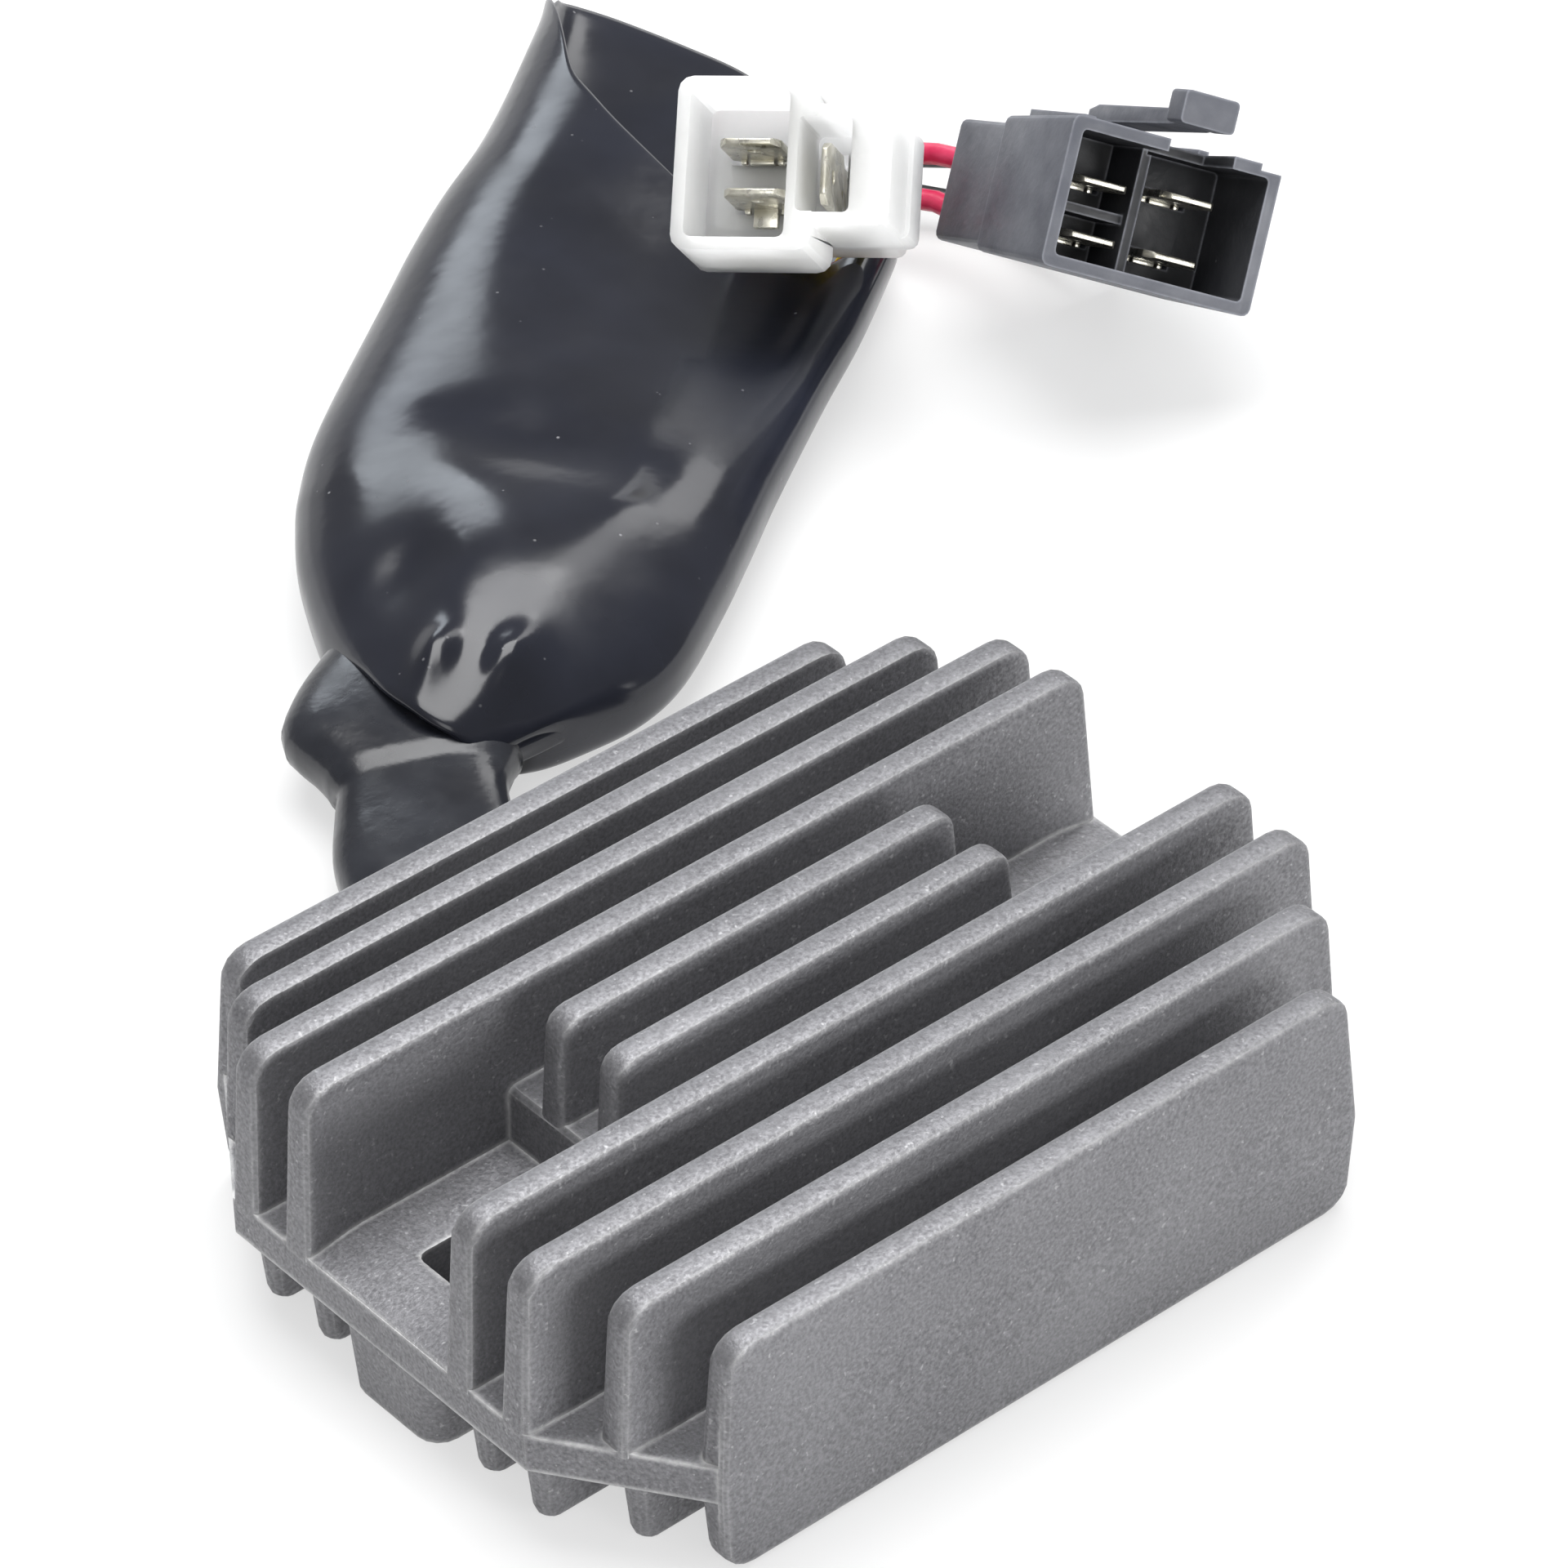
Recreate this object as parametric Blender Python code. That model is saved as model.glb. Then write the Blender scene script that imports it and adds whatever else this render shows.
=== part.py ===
"""A finned voltage regulator rectifier with its lead, boot and two connectors."""

import math

import bmesh
import bpy
import numpy as np
from mathutils import Matrix, Vector

MM = 0.001

# Room between two pieces that touch
GAP = 0.3 * MM

# Heat sink, upper fins
PITCH = 7.5 * MM
FIN_TIP = 3.0 * MM
FIN_ROOT = 3.7 * MM
PLATE_TOP = 12.3 * MM
PLATE_THICK = 4.0 * MM
FIN_TALL = 17.85 * MM
ARCH_DROP = 5.05 * MM
ARCH_POWER = 2.6
FIN_HALF_LONG = 45.0 * MM
FIN_SHORTEN = 0.64
SHORTEN_FROM = 19.0 * MM
END_LEAN = 1.3 * MM
FIN_CORNER = 3.0 * MM
FIN_EDGE = 0.9 * MM

# Heat sink, plate, block and lugs
PLATE_HALF_LONG = FIN_HALF_LONG + END_LEAN - 0.2 * MM
OUTER_FIN_HALF = 1.85 * MM
PLATE_HALF_WIDE = 4.5 * PITCH + OUTER_FIN_HALF
CHAMFER_WIDE = 15.25 * MM
CHAMFER_LONG = 10.1 * MM
BLOCK_TALL = 6.76 * MM
BLOCK_HALF_WIDE = 10.7 * MM
PAD_TALL = 0.9 * MM
PAD_SLOPE = 5.3 * MM
PAD_HALF_WIDE = 10.6 * MM
EAR_RIM = 6.7 * MM
SLOT_TO = PLATE_HALF_LONG - EAR_RIM
SLOT_LONG = 7.1 * MM
SLOT_FROM = SLOT_TO - SLOT_LONG
BLOCK_HALF_LONG = SLOT_FROM - 8.5 * MM
SHORT_FIN_HALF_LONG = BLOCK_HALF_LONG - 1.2 * MM
SLOT_WIDE = 5.6 * MM
SLOT_CORNER = 1.0 * MM
FOOT_FROM = SLOT_FROM - 2.1 * MM
FOOT_INSET = 0.6 * MM
FOOT_WIDE = 13.0 * MM
FOOT_CORNER = 2.5 * MM

# Heat sink, underside
LOWER_THICK = 3.6 * MM
LOWER_TIP = 2.5 * MM
LOWER_BOTTOM = 0.1 * MM
LOWER_CORNER = 1.4 * MM
LOWER_INSET = 1.5 * MM
LOWER_LEAN = 0.9 * MM
POCKET_HALF_LONG = SLOT_FROM - 3.9 * MM
POCKET_HALF_WIDE = 3.5 * PITCH - OUTER_FIN_HALF
POCKET_WALL = 3.0 * MM
POCKET_RIM = 0.6 * MM
CAVITY_HALF_LONG = POCKET_HALF_LONG - 7.4 * MM
CAVITY_HALF_WIDE = 6.4 * MM
CAVITY_ROOF = 15.5 * MM

# Wire exit, grommet and resin
EXIT_X = -3.0 * MM
EXIT_WIDE = 18.0 * MM
EXIT_TOP = 9.4 * MM
GROMMET_LIP = 1.2 * MM
GROMMET_LIP_OUT = 1.0 * MM
RESIN_BOTTOM = 1.0 * MM

# Board and the parts on it
BOARD_LONG = 2 * POCKET_HALF_LONG - 4.8 * MM
BOARD_WIDE = 2 * POCKET_HALF_WIDE - 7.8 * MM
BOARD_THICK = 1.2 * MM
BOARD_BOTTOM = 2.9 * MM
POWER_WIDE = 10.2 * MM
POWER_BETWEEN = 1.8 * MM
POWER_LONG = (2 * POCKET_HALF_LONG - 7.6 * MM - 2 * POWER_BETWEEN) / 3
POWER_Y = 12.3 * MM
CAPACITOR_RADIUS = 4.0 * MM
CAPACITOR_LONG = CAVITY_HALF_LONG - 9.5 * MM
CAPACITOR_X = -CAVITY_HALF_LONG * 4 / 7
CONTROL_LONG = CAVITY_HALF_LONG * 2 / 3
CONTROL_WIDE = 8.0 * MM
CONTROL_TALL = 7.5 * MM
CONTROL_X = CAVITY_HALF_LONG * 3 / 7

# Wires
WIRE_RADIUS = 1.15 * MM
WIRE_ACROSS = 3.4 * MM
WIRE_ROW_GAP = 3.3 * MM
WIRE_POINT_STEP = 5.0 * MM
BUNDLE_HEIGHT = 5.2 * MM

# Sleeve between the casting and the boot
SLEEVE_WIDE = 17.6 * MM
SLEEVE_TALL = 10.0 * MM
SLEEVE_WALL = 0.8 * MM

# Boot
BOOT_AXIS = math.radians(34.0)
BOOT_FOLD = 7.6 * MM
BOOT_CROWN = 16.0 * MM
BOOT_FLOOR = 0.05 * MM
BOOT_ENTRY_FOLD = 6.4 * MM
BOOT_ENTRY_CROWN = 12.9 * MM
BOOT_ENTRY_FLOOR = 0.1 * MM
BOOT_PRESSED = 6.5 * MM
BOOT_WALL = 1.1 * MM

# White connector: place of its front face and its three directions
WHITE_AT = (75.2 * MM, 94.0 * MM, 29.9 * MM)
WHITE_RIGHT = (0.6221, -0.7766, 0.0997)
WHITE_UP = (0.5231, 0.5070, 0.6850)
WHITE_MAIN_WIDE = 14.3 * MM
WHITE_MAIN_TALL = 17.7 * MM
WHITE_SIDE_WIDE = 7.8 * MM
WHITE_SIDE_TALL = 12.3 * MM
WHITE_SHROUD_DEEP = 10.8 * MM
WHITE_WALL = 1.3 * MM
WHITE_REAR_DEEP = 12.0 * MM

# Black connector
BLACK_AT = (107.14 * MM, 67.10 * MM, 22.52 * MM)
BLACK_RIGHT = (0.8033, -0.3997, -0.4415)
BLACK_UP = (0.5678, 0.2904, 0.7702)
BLACK_WIDE = 24.2 * MM
BLACK_TALL = 15.4 * MM
BLACK_WALL = 1.3 * MM
BLACK_SHROUD_DEEP = 11.0 * MM
BLACK_MIDDLE_AT = 16.2 * MM
BLACK_REAR_AT = 27.6 * MM
BLACK_STEP = 0.6 * MM

# Blade terminals
BLADE_WIDE = 6.3 * MM
BLADE_THICK = 0.8 * MM
BLADE_OUT = 8.0 * MM


def clear_scene():
    for item in list(bpy.data.objects):
        bpy.data.objects.remove(item, do_unlink=True)


def material(name, color, metallic=0.0, roughness=0.5):
    made = bpy.data.materials.new(name)
    made.use_nodes = True
    shader = made.node_tree.nodes["Principled BSDF"]
    shader.inputs["Base Color"].default_value = (*color, 1.0)
    shader.inputs["Metallic"].default_value = metallic
    shader.inputs["Roughness"].default_value = roughness
    return made


def shade(mesh, angle=32.0):
    for polygon in mesh.polygons:
        polygon.use_smooth = True
    mesh.set_sharp_from_angle(angle=math.radians(angle))


def mesh_object(name, points, faces, made=None):
    mesh = bpy.data.meshes.new(name)
    mesh.from_pydata([tuple(point) for point in points], [], faces)
    work = bmesh.new()
    work.from_mesh(mesh)
    bmesh.ops.recalc_face_normals(work, faces=work.faces)
    work.to_mesh(mesh)
    work.free()
    item = bpy.data.objects.new(name, mesh)
    bpy.context.scene.collection.objects.link(item)
    if made is not None:
        mesh.materials.append(made)
    return item


def loft(name, rings, made=None):
    """A closed body through rings of equal length, with both ends capped."""
    count = len(rings[0])
    points = [point for ring in rings for point in ring]
    faces = []
    for row in range(len(rings) - 1):
        for at in range(count):
            after = (at + 1) % count
            low, high = row * count, (row + 1) * count
            faces.append((low + at, low + after, high + after, high + at))
    faces.append(tuple(range(count)))
    faces.append(tuple(len(points) - count + at for at in range(count)))
    return mesh_object(name, points, faces, made)


def shell(name, outer, inner, made=None):
    """A tube with a wall: outer and inner rings, joined by a rim at each end."""
    count = len(outer[0])
    rings = outer + inner[::-1]
    points = [point for ring in rings for point in ring]
    faces = []
    for row in range(len(rings)):
        after_row = (row + 1) % len(rings)
        for at in range(count):
            after = (at + 1) % count
            low, high = row * count, after_row * count
            faces.append((low + at, low + after, high + after, high + at))
    return mesh_object(name, points, faces, made)


def prism(name, outline, low, high, made=None):
    """An upright body with this outline (x, y), from z low to z high."""
    rings = [[(x, y, z) for x, y in outline] for z in (low, high)]
    return loft(name, rings, made)


def rounded(half_x, half_y, radius, steps=4, at=(0.0, 0.0)):
    """A rectangle with round corners, anticlockwise."""
    outline = []
    for turn, sx, sy in ((0, 1, 1), (1, -1, 1), (2, -1, -1), (3, 1, -1)):
        for step in range(steps + 1):
            angle = math.pi / 2 * (turn + step / steps)
            x = sx * (half_x - radius) + radius * math.cos(angle)
            y = sy * (half_y - radius) + radius * math.sin(angle)
            outline.append((at[0] + x, at[1] + y))
    return outline


def block(name, low, high, made=None, radius=0.0):
    half_x = (high[0] - low[0]) / 2
    half_y = (high[1] - low[1]) / 2
    middle = (low[0] + half_x, low[1] + half_y)
    if radius:
        outline = rounded(half_x, half_y, radius, 3, middle)
    else:
        outline = [(low[0], low[1]), (high[0], low[1]), (high[0], high[1]), (low[0], high[1])]
    return prism(name, outline, low[2], high[2], made)


def combine(base, others, operation):
    """Base with the others added or cut away, as one plain mesh."""
    for other in others:
        modifier = base.modifiers.new(operation, "BOOLEAN")
        modifier.operation = operation
        modifier.solver = "EXACT"
        modifier.object = other
        bpy.context.view_layer.update()
        graph = bpy.context.evaluated_depsgraph_get()
        mesh = bpy.data.meshes.new_from_object(base.evaluated_get(graph))
        base.modifiers.clear()
        base.data = mesh
        bpy.data.objects.remove(other, do_unlink=True)
    return base


def tidy(item, angle=32.0):
    """Removes doubled points and thin leftovers after the cuts, then shades."""
    work = bmesh.new()
    work.from_mesh(item.data)
    bmesh.ops.remove_doubles(work, verts=work.verts, dist=0.004 * MM)
    bmesh.ops.dissolve_degenerate(work, dist=0.004 * MM, edges=work.edges)
    bmesh.ops.triangulate(work, faces=[face for face in work.faces if len(face.verts) > 4])
    bmesh.ops.recalc_face_normals(work, faces=work.faces)
    work.to_mesh(item.data)
    work.free()
    shade(item.data, angle)
    return item


def fin_row(number):
    """Middle line of fin 1 (far side) to 10 (near side)."""
    return (5.5 - number) * PITCH


def fin_half_long(y):
    return FIN_HALF_LONG - FIN_SHORTEN * max(0.0, abs(y) - SHORTEN_FROM)


def fin_top(y):
    return PLATE_TOP + FIN_TALL - ARCH_DROP * (abs(y) / (4.5 * PITCH)) ** ARCH_POWER


def fin(name, y, half_long, top, foot, corner):
    """An upright fin with drafted sides, a round top edge and round ends."""
    height = top - foot
    lean = (FIN_ROOT - FIN_TIP) / 2 / (FIN_TALL + 0.5 * MM)
    rings = []
    inward = (0.0, 0.12, 0.45, 1.0, 1.9, 3.0)
    stations = [(-1, step * corner / 3.0) for step in inward]
    stations += [(1, step * corner / 3.0) for step in reversed(inward)]
    for side, inset in stations:
        rise = math.sqrt(max(0.0, corner ** 2 - (corner - inset) ** 2))
        own_top = top - corner + rise
        edge = min(inset, FIN_EDGE)
        narrow = FIN_EDGE - math.sqrt(FIN_EDGE ** 2 - (FIN_EDGE - edge) ** 2)
        ring = []
        half_tip = FIN_TIP / 2 - narrow
        half_foot = half_tip + lean * height
        soft = min(0.75 * MM, 0.7 * half_tip)
        marks = [
            (-half_foot, foot),
            (-half_tip - lean * soft, own_top - soft),
            (-half_tip + 0.30 * soft, own_top - 0.25 * soft),
            (-half_tip + soft, own_top),
            (half_tip - soft, own_top),
            (half_tip - 0.30 * soft, own_top - 0.25 * soft),
            (half_tip + lean * soft, own_top - soft),
            (half_foot, foot),
        ]
        for across, z in marks:
            x = half_long - inset + END_LEAN * (top - z) / (FIN_TALL + 0.5 * MM)
            ring.append((side * x, y + across, z))
        rings.append(ring)
    return loft(name, rings)


def outer_fin(name, y):
    """Fin 1 or 10: one wall from its top edge down past the plate to the bottom."""
    half_long, top = fin_half_long(y), fin_top(y)
    middle = PLATE_TOP - PLATE_THICK / 2
    wide = OUTER_FIN_HALF
    low = wide - 0.35 * MM
    rings = []
    inward = (0.0, 0.12, 0.45, 1.0, 1.9, 3.0)
    stations = [(-1, step * FIN_CORNER / 3.0) for step in inward]
    stations += [(1, step * FIN_CORNER / 3.0) for step in reversed(inward)]
    for side, inset in stations:
        rise = math.sqrt(max(0.0, FIN_CORNER ** 2 - (FIN_CORNER - inset) ** 2))
        drop = FIN_CORNER - rise
        edge = min(inset, FIN_EDGE)
        narrow = FIN_EDGE - math.sqrt(FIN_EDGE ** 2 - (FIN_EDGE - edge) ** 2)
        half_tip = FIN_TIP / 2 - narrow
        soft = min(0.75 * MM, 0.7 * half_tip)
        right = [
            (half_tip - soft, top - drop),
            (half_tip - 0.30 * soft, top - drop - 0.25 * soft),
            (half_tip, top - drop - soft),
            (wide - narrow, middle),
            (low - narrow, LOWER_BOTTOM + drop + soft),
            (low - narrow - 0.30 * soft, LOWER_BOTTOM + drop + 0.25 * soft),
            (low - narrow - soft, LOWER_BOTTOM + drop),
        ]
        left = [(-across, z) for across, z in reversed(right)]
        ring = []
        for across, z in right + left:
            share = (top - z) / (top - middle) if z > middle else 1.0 - 0.4 * (middle - z) / middle
            ring.append((side * (half_long - inset + END_LEAN * share), y + across, z))
        rings.append(ring)
    return loft(name, rings)


def lower_fin(name, y, from_x, to_x):
    """A stub or wall under the plate, with full round ends and a rounded, thinner tip."""
    deep = PLATE_TOP - 0.6 * PLATE_THICK - LOWER_BOTTOM
    rings = []
    levels = ((0.0, 1.0), (0.13, 0.5), (0.5, 0.13), (1.0, 0.0), (deep / LOWER_CORNER, 0.0))
    for height, round_off in levels:
        rise = height * LOWER_CORNER
        share = rise / deep
        half = LOWER_TIP / 2 + (LOWER_THICK - LOWER_TIP) / 2 * share - round_off * 0.6 * MM
        inset = LOWER_LEAN * (1.0 - share) + round_off * LOWER_CORNER
        outline = stadium(from_x + inset, to_x - inset, y, half)
        rings.append([(x, own_y, LOWER_BOTTOM + rise) for x, own_y in outline])
    return loft(name, rings)


def stadium(from_x, to_x, y, half):
    outline = []
    for step in range(7):
        angle = -math.pi / 2 + math.pi * step / 6
        outline.append((to_x - half + half * math.cos(angle), y + half * math.sin(angle)))
    for step in range(7):
        angle = math.pi / 2 + math.pi * step / 6
        outline.append((from_x + half + half * math.cos(angle), y + half * math.sin(angle)))
    return outline


def plate_body():
    side = PLATE_HALF_WIDE - 0.5 * MM
    chamfer_from = PLATE_HALF_WIDE - CHAMFER_WIDE
    corner = [(PLATE_HALF_LONG, chamfer_from), (PLATE_HALF_LONG - CHAMFER_LONG, side)]
    outline = [(x, y) for x, y in corner]
    outline += [(-x, y) for x, y in corner[::-1]]
    outline += [(-x, -y) for x, y in corner]
    outline += [(x, -y) for x, y in corner[::-1]]
    return prism("heat_sink", outline, PLATE_TOP - PLATE_THICK, PLATE_TOP)


def foot_outline(grow):
    """Foot boss at the +x end: flat front with round corners, square at the back."""
    half = FOOT_WIDE / 2 + grow
    front = PLATE_HALF_LONG - FOOT_INSET + grow
    outline = [(FOOT_FROM, half), (FOOT_FROM, -half)]
    for turn in range(5):
        angle = -math.pi / 2 + math.pi / 2 * turn / 4
        x = front - FOOT_CORNER + FOOT_CORNER * math.cos(angle)
        y = -half + FOOT_CORNER + FOOT_CORNER * math.sin(angle)
        outline.append((x, y))
    for turn in range(5):
        angle = math.pi / 2 * turn / 4
        x = front - FOOT_CORNER + FOOT_CORNER * math.cos(angle)
        y = half - FOOT_CORNER + FOOT_CORNER * math.sin(angle)
        outline.append((x, y))
    return outline


def mirrored(rings, side):
    return [[(side * x, y, z) for x, y, z in ring] for ring in rings]


def lug_parts(side):
    """The raised floor and the foot boss of one lug."""
    low = PLATE_TOP - 0.5 * PLATE_THICK
    flat_to = PLATE_HALF_LONG - PAD_SLOPE
    profile = [
        (BLOCK_HALF_LONG - 1.0 * MM, low),
        (PLATE_HALF_LONG - 0.1 * MM, low),
        (PLATE_HALF_LONG - 0.1 * MM, PLATE_TOP + 0.02 * MM),
        (flat_to + 0.8 * MM, PLATE_TOP + PAD_TALL - 0.1 * MM),
        (flat_to - 0.8 * MM, PLATE_TOP + PAD_TALL),
        (BLOCK_HALF_LONG - 1.0 * MM, PLATE_TOP + PAD_TALL),
    ]
    pad_rings = [[(x, y, z) for x, z in profile] for y in (-PAD_HALF_WIDE, PAD_HALF_WIDE)]
    foot_rings = [[(x, y, 0.0) for x, y in foot_outline(-0.3 * MM)]]
    foot_rings.append([(x, y, low) for x, y in foot_outline(0.3 * MM)])
    return [
        loft("pad", mirrored(pad_rings, side)),
        loft("foot", mirrored(foot_rings, side)),
    ]


def slot_cut(side):
    half_long = (SLOT_TO - SLOT_FROM) / 2
    outline = rounded(half_long, SLOT_WIDE / 2, SLOT_CORNER, 3, (side * (SLOT_FROM + half_long), 0.0))
    return prism("slot", outline, -1.0 * MM, PLATE_TOP + 5.0 * MM)


def pocket_walls():
    """A ring of wall round the pocket, standing on the underside of the plate."""
    out_x = POCKET_HALF_LONG + POCKET_WALL
    out_y = POCKET_HALF_WIDE + POCKET_WALL
    top = PLATE_TOP - 0.5 * PLATE_THICK
    return prism("walls", rounded(out_x, out_y, 3.0 * MM, 3), POCKET_RIM, top)


def exit_cut(low_y, high_y, grow):
    """The notch that the grommet sits in, open at the bottom."""
    half = EXIT_WIDE / 2 + grow
    low = (EXIT_X - half, low_y, -1.0 * MM)
    high = (EXIT_X + half, high_y, EXIT_TOP + grow)
    return block("exit", low, high)


def heat_sink(made):
    base = plate_body()
    added = [pocket_walls()]
    raised = rounded(BLOCK_HALF_LONG, BLOCK_HALF_WIDE, 1.2 * MM, 3)
    upper = rounded(BLOCK_HALF_LONG - 0.3 * MM, BLOCK_HALF_WIDE - 0.2 * MM, 1.2 * MM, 3)
    top = PLATE_TOP + BLOCK_TALL
    rings = [
        [(x, y, PLATE_TOP - 1.0 * MM) for x, y in raised],
        [(x, y, top - 0.5 * MM) for x, y in upper],
        [(x * 0.98, y * 0.955, top) for x, y in upper],
    ]
    added.append(loft("raised", rings))
    foot = PLATE_TOP - 0.5 * MM
    for number in (2, 3, 4, 7, 8, 9):
        y = fin_row(number)
        added.append(fin("fin", y, fin_half_long(y), fin_top(y), foot, FIN_CORNER))
    for number in (5, 6):
        y = fin_row(number)
        added.append(fin("fin", y, SHORT_FIN_HALF_LONG, fin_top(y), top - 0.5 * MM, 2.3 * MM))
    for number in (1, 10):
        added.append(outer_fin("wall", fin_row(number)))
    for number in (3, 4, 7, 8):
        end = FIN_HALF_LONG + END_LEAN - LOWER_INSET
        for side in (-1, 1):
            ends = sorted((side * (POCKET_HALF_LONG - 3.0 * MM), side * end))
            added.append(lower_fin("stub", fin_row(number), ends[0], ends[1]))
    for number in (2, 9):
        end = fin_half_long(fin_row(number)) + END_LEAN - LOWER_INSET
        added.append(lower_fin("wall", fin_row(number), -end, end))
    for side in (-1, 1):
        added += lug_parts(side)
    combine(base, added, "UNION")
    cuts = [slot_cut(-1), slot_cut(1)]
    roof = PLATE_TOP - PLATE_THICK
    outline = rounded(POCKET_HALF_LONG, POCKET_HALF_WIDE, 1.5 * MM, 3)
    cuts.append(prism("pocket", outline, -1.0 * MM, roof))
    cavity = rounded(CAVITY_HALF_LONG, CAVITY_HALF_WIDE, 1.5 * MM, 3)
    cuts.append(prism("cavity", cavity, roof - 1.0 * MM, CAVITY_ROOF))
    cuts.append(exit_cut(POCKET_HALF_WIDE - 1.0 * MM, PLATE_HALF_WIDE + 1.0 * MM, 0.0))
    combine(base, cuts, "DIFFERENCE")
    tidy(base)
    base.data.materials.clear()
    base.data.materials.append(made)
    return base


def smooth_path(route, step):
    """Points about this far apart on a smooth curve through the route."""
    marks = [Vector(mark) for mark in route]
    marks = [2 * marks[0] - marks[1]] + marks + [2 * marks[-1] - marks[-2]]
    fine = []
    for at in range(1, len(marks) - 2):
        before, low, high, after = marks[at - 1:at + 3]
        for count in range(24):
            share = count / 24
            bend = (2 * before - 5 * low + 4 * high - after) * share ** 2
            twist = (3 * low - before - 3 * high + after) * share ** 3
            fine.append((2 * low + (high - before) * share + bend + twist) / 2)
    fine.append(marks[-2])
    lengths = [0.0]
    for low, high in zip(fine, fine[1:]):
        lengths.append(lengths[-1] + (high - low).length)
    count = max(2, round(lengths[-1] / step) + 1)
    wanted = np.linspace(0.0, lengths[-1], count)
    columns = [np.interp(wanted, lengths, [point[axis] for point in fine]) for axis in range(3)]
    return [Vector(point) for point in zip(*columns)]


def cord(name, route, made):
    points = smooth_path(route, WIRE_POINT_STEP)
    curve = bpy.data.curves.new(name, "CURVE")
    curve.dimensions = "3D"
    curve.bevel_depth = WIRE_RADIUS
    curve.bevel_resolution = 2
    curve.use_fill_caps = True
    spline = curve.splines.new("POLY")
    spline.points.add(len(points) - 1)
    for mark, point in zip(spline.points, points):
        mark.co = (*point, 1.0)
    spline.use_smooth = True
    curve.materials.append(made)
    item = bpy.data.objects.new(name, curve)
    bpy.context.scene.collection.objects.link(item)
    return item


def boot_point(along, across, height):
    """A point of the boot's own directions (mm), in the frame of the whole part."""
    x = along * math.cos(BOOT_AXIS) - across * math.sin(BOOT_AXIS)
    y = along * math.sin(BOOT_AXIS) + across * math.cos(BOOT_AXIS)
    return Vector((x, y, height)) * MM


def bundle_offset(number):
    """Place of wire 1 to 7 in the bundle, across and up: four below, three above."""
    if number <= 4:
        return (number - 2.5) * WIRE_ACROSS, -WIRE_ROW_GAP / 2
    return (number - 6.0) * WIRE_ACROSS, WIRE_ROW_GAP / 2


def neck_route():
    """Middle line of the sleeve, from the grommet into the boot."""
    return [
        Vector((EXIT_X, PLATE_HALF_WIDE + 2.4 * MM, BUNDLE_HEIGHT)),
        Vector((-2.4 * MM, 43.0 * MM, BUNDLE_HEIGHT + 0.1 * MM)),
        Vector((0.8 * MM, 50.5 * MM, BUNDLE_HEIGHT + 0.3 * MM)),
        Vector((5.2 * MM, 58.6 * MM, BUNDLE_HEIGHT + 0.7 * MM)),
        boot_point(46.0, 50.4, 6.4),
        boot_point(54.0, 50.8, 6.5),
        boot_point(63.0, 50.6, 6.6),
    ]


def side_of(points, at):
    low = points[max(at - 1, 0)]
    high = points[min(at + 1, len(points) - 1)]
    along = high - low
    return Vector((along.y, -along.x, 0.0)).normalized()


def bundle_route(number):
    """The part of one wire's route that runs in the grommet, sleeve and boot."""
    across, up = bundle_offset(number)
    inner = 18.2 * MM if number > 4 else 21.2 * MM
    route = [Vector((EXIT_X + across, inner, BUNDLE_HEIGHT + up))]
    route.append(Vector((EXIT_X + across, 28.0 * MM, BUNDLE_HEIGHT + up)))
    middle = neck_route()
    for at in range(len(middle)):
        side = side_of(middle, at)
        route.append(middle[at] + side * across + Vector((0.0, 0.0, up)))
    return route


def sleeve(made):
    middle = smooth_path(neck_route(), 3.2 * MM)
    outer, inner = [], []
    for at, point in enumerate(middle):
        share = at / (len(middle) - 1)
        swell = 2.4 * MM * math.exp(-((share - 0.56) / 0.11) ** 2)
        side = side_of(middle, at)
        for rings, less in ((outer, 0.0), (inner, SLEEVE_WALL)):
            half = SLEEVE_TALL / 2 - less - 0.6 * MM * min(1.0, 1.8 * share)
            reach = SLEEVE_WIDE / 2 + swell - less
            outline = rounded(reach, half, half - 0.05 * MM, 4)
            rings.append([point + side * x + Vector((0.0, 0.0, z)) for x, z in outline])
    item = shell("harness_sleeve", outer, inner, made)
    shade(item.data, 60.0)
    return item


def ease(share):
    """Rises smoothly from 0 to 1."""
    share = min(1.0, max(0.0, share))
    return share * share * (3.0 - 2.0 * share)


def boot_edges(along):
    """Right and left edge of the boot's plan outline at this place along it (mm)."""
    places = (76.0, 84.0, 92.0, 110.0, 120.0, 130.0, 140.0, 150.0, 160.0, 168.0, 182.0)
    right = (26.4, 26.4, 26.5, 26.1, 25.6, 25.6, 25.9, 26.2, 26.6, 26.8, 27.0)
    left = (71.4, 72.9, 73.5, 73.8, 74.0, 73.8, 72.7, 72.8, 73.3, 73.7, 77.0)
    return float(np.interp(along, places, right)), float(np.interp(along, places, left))


def mouth(share, upper):
    """How far along the boot its wall ends, from the right edge (0) to the left (1)."""
    places = (0.0, 0.05, 0.14, 0.30, 0.52, 0.69, 0.84, 0.97, 1.0)
    if upper:
        ends = (134.0, 129.0, 125.0, 125.5, 136.0, 144.0, 151.5, 163.0, 168.5)
    else:
        ends = (136.0, 141.0, 147.0, 162.0, 172.5, 176.3, 178.8, 180.5, 170.0)
    return float(np.interp(share, places, ends))


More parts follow.
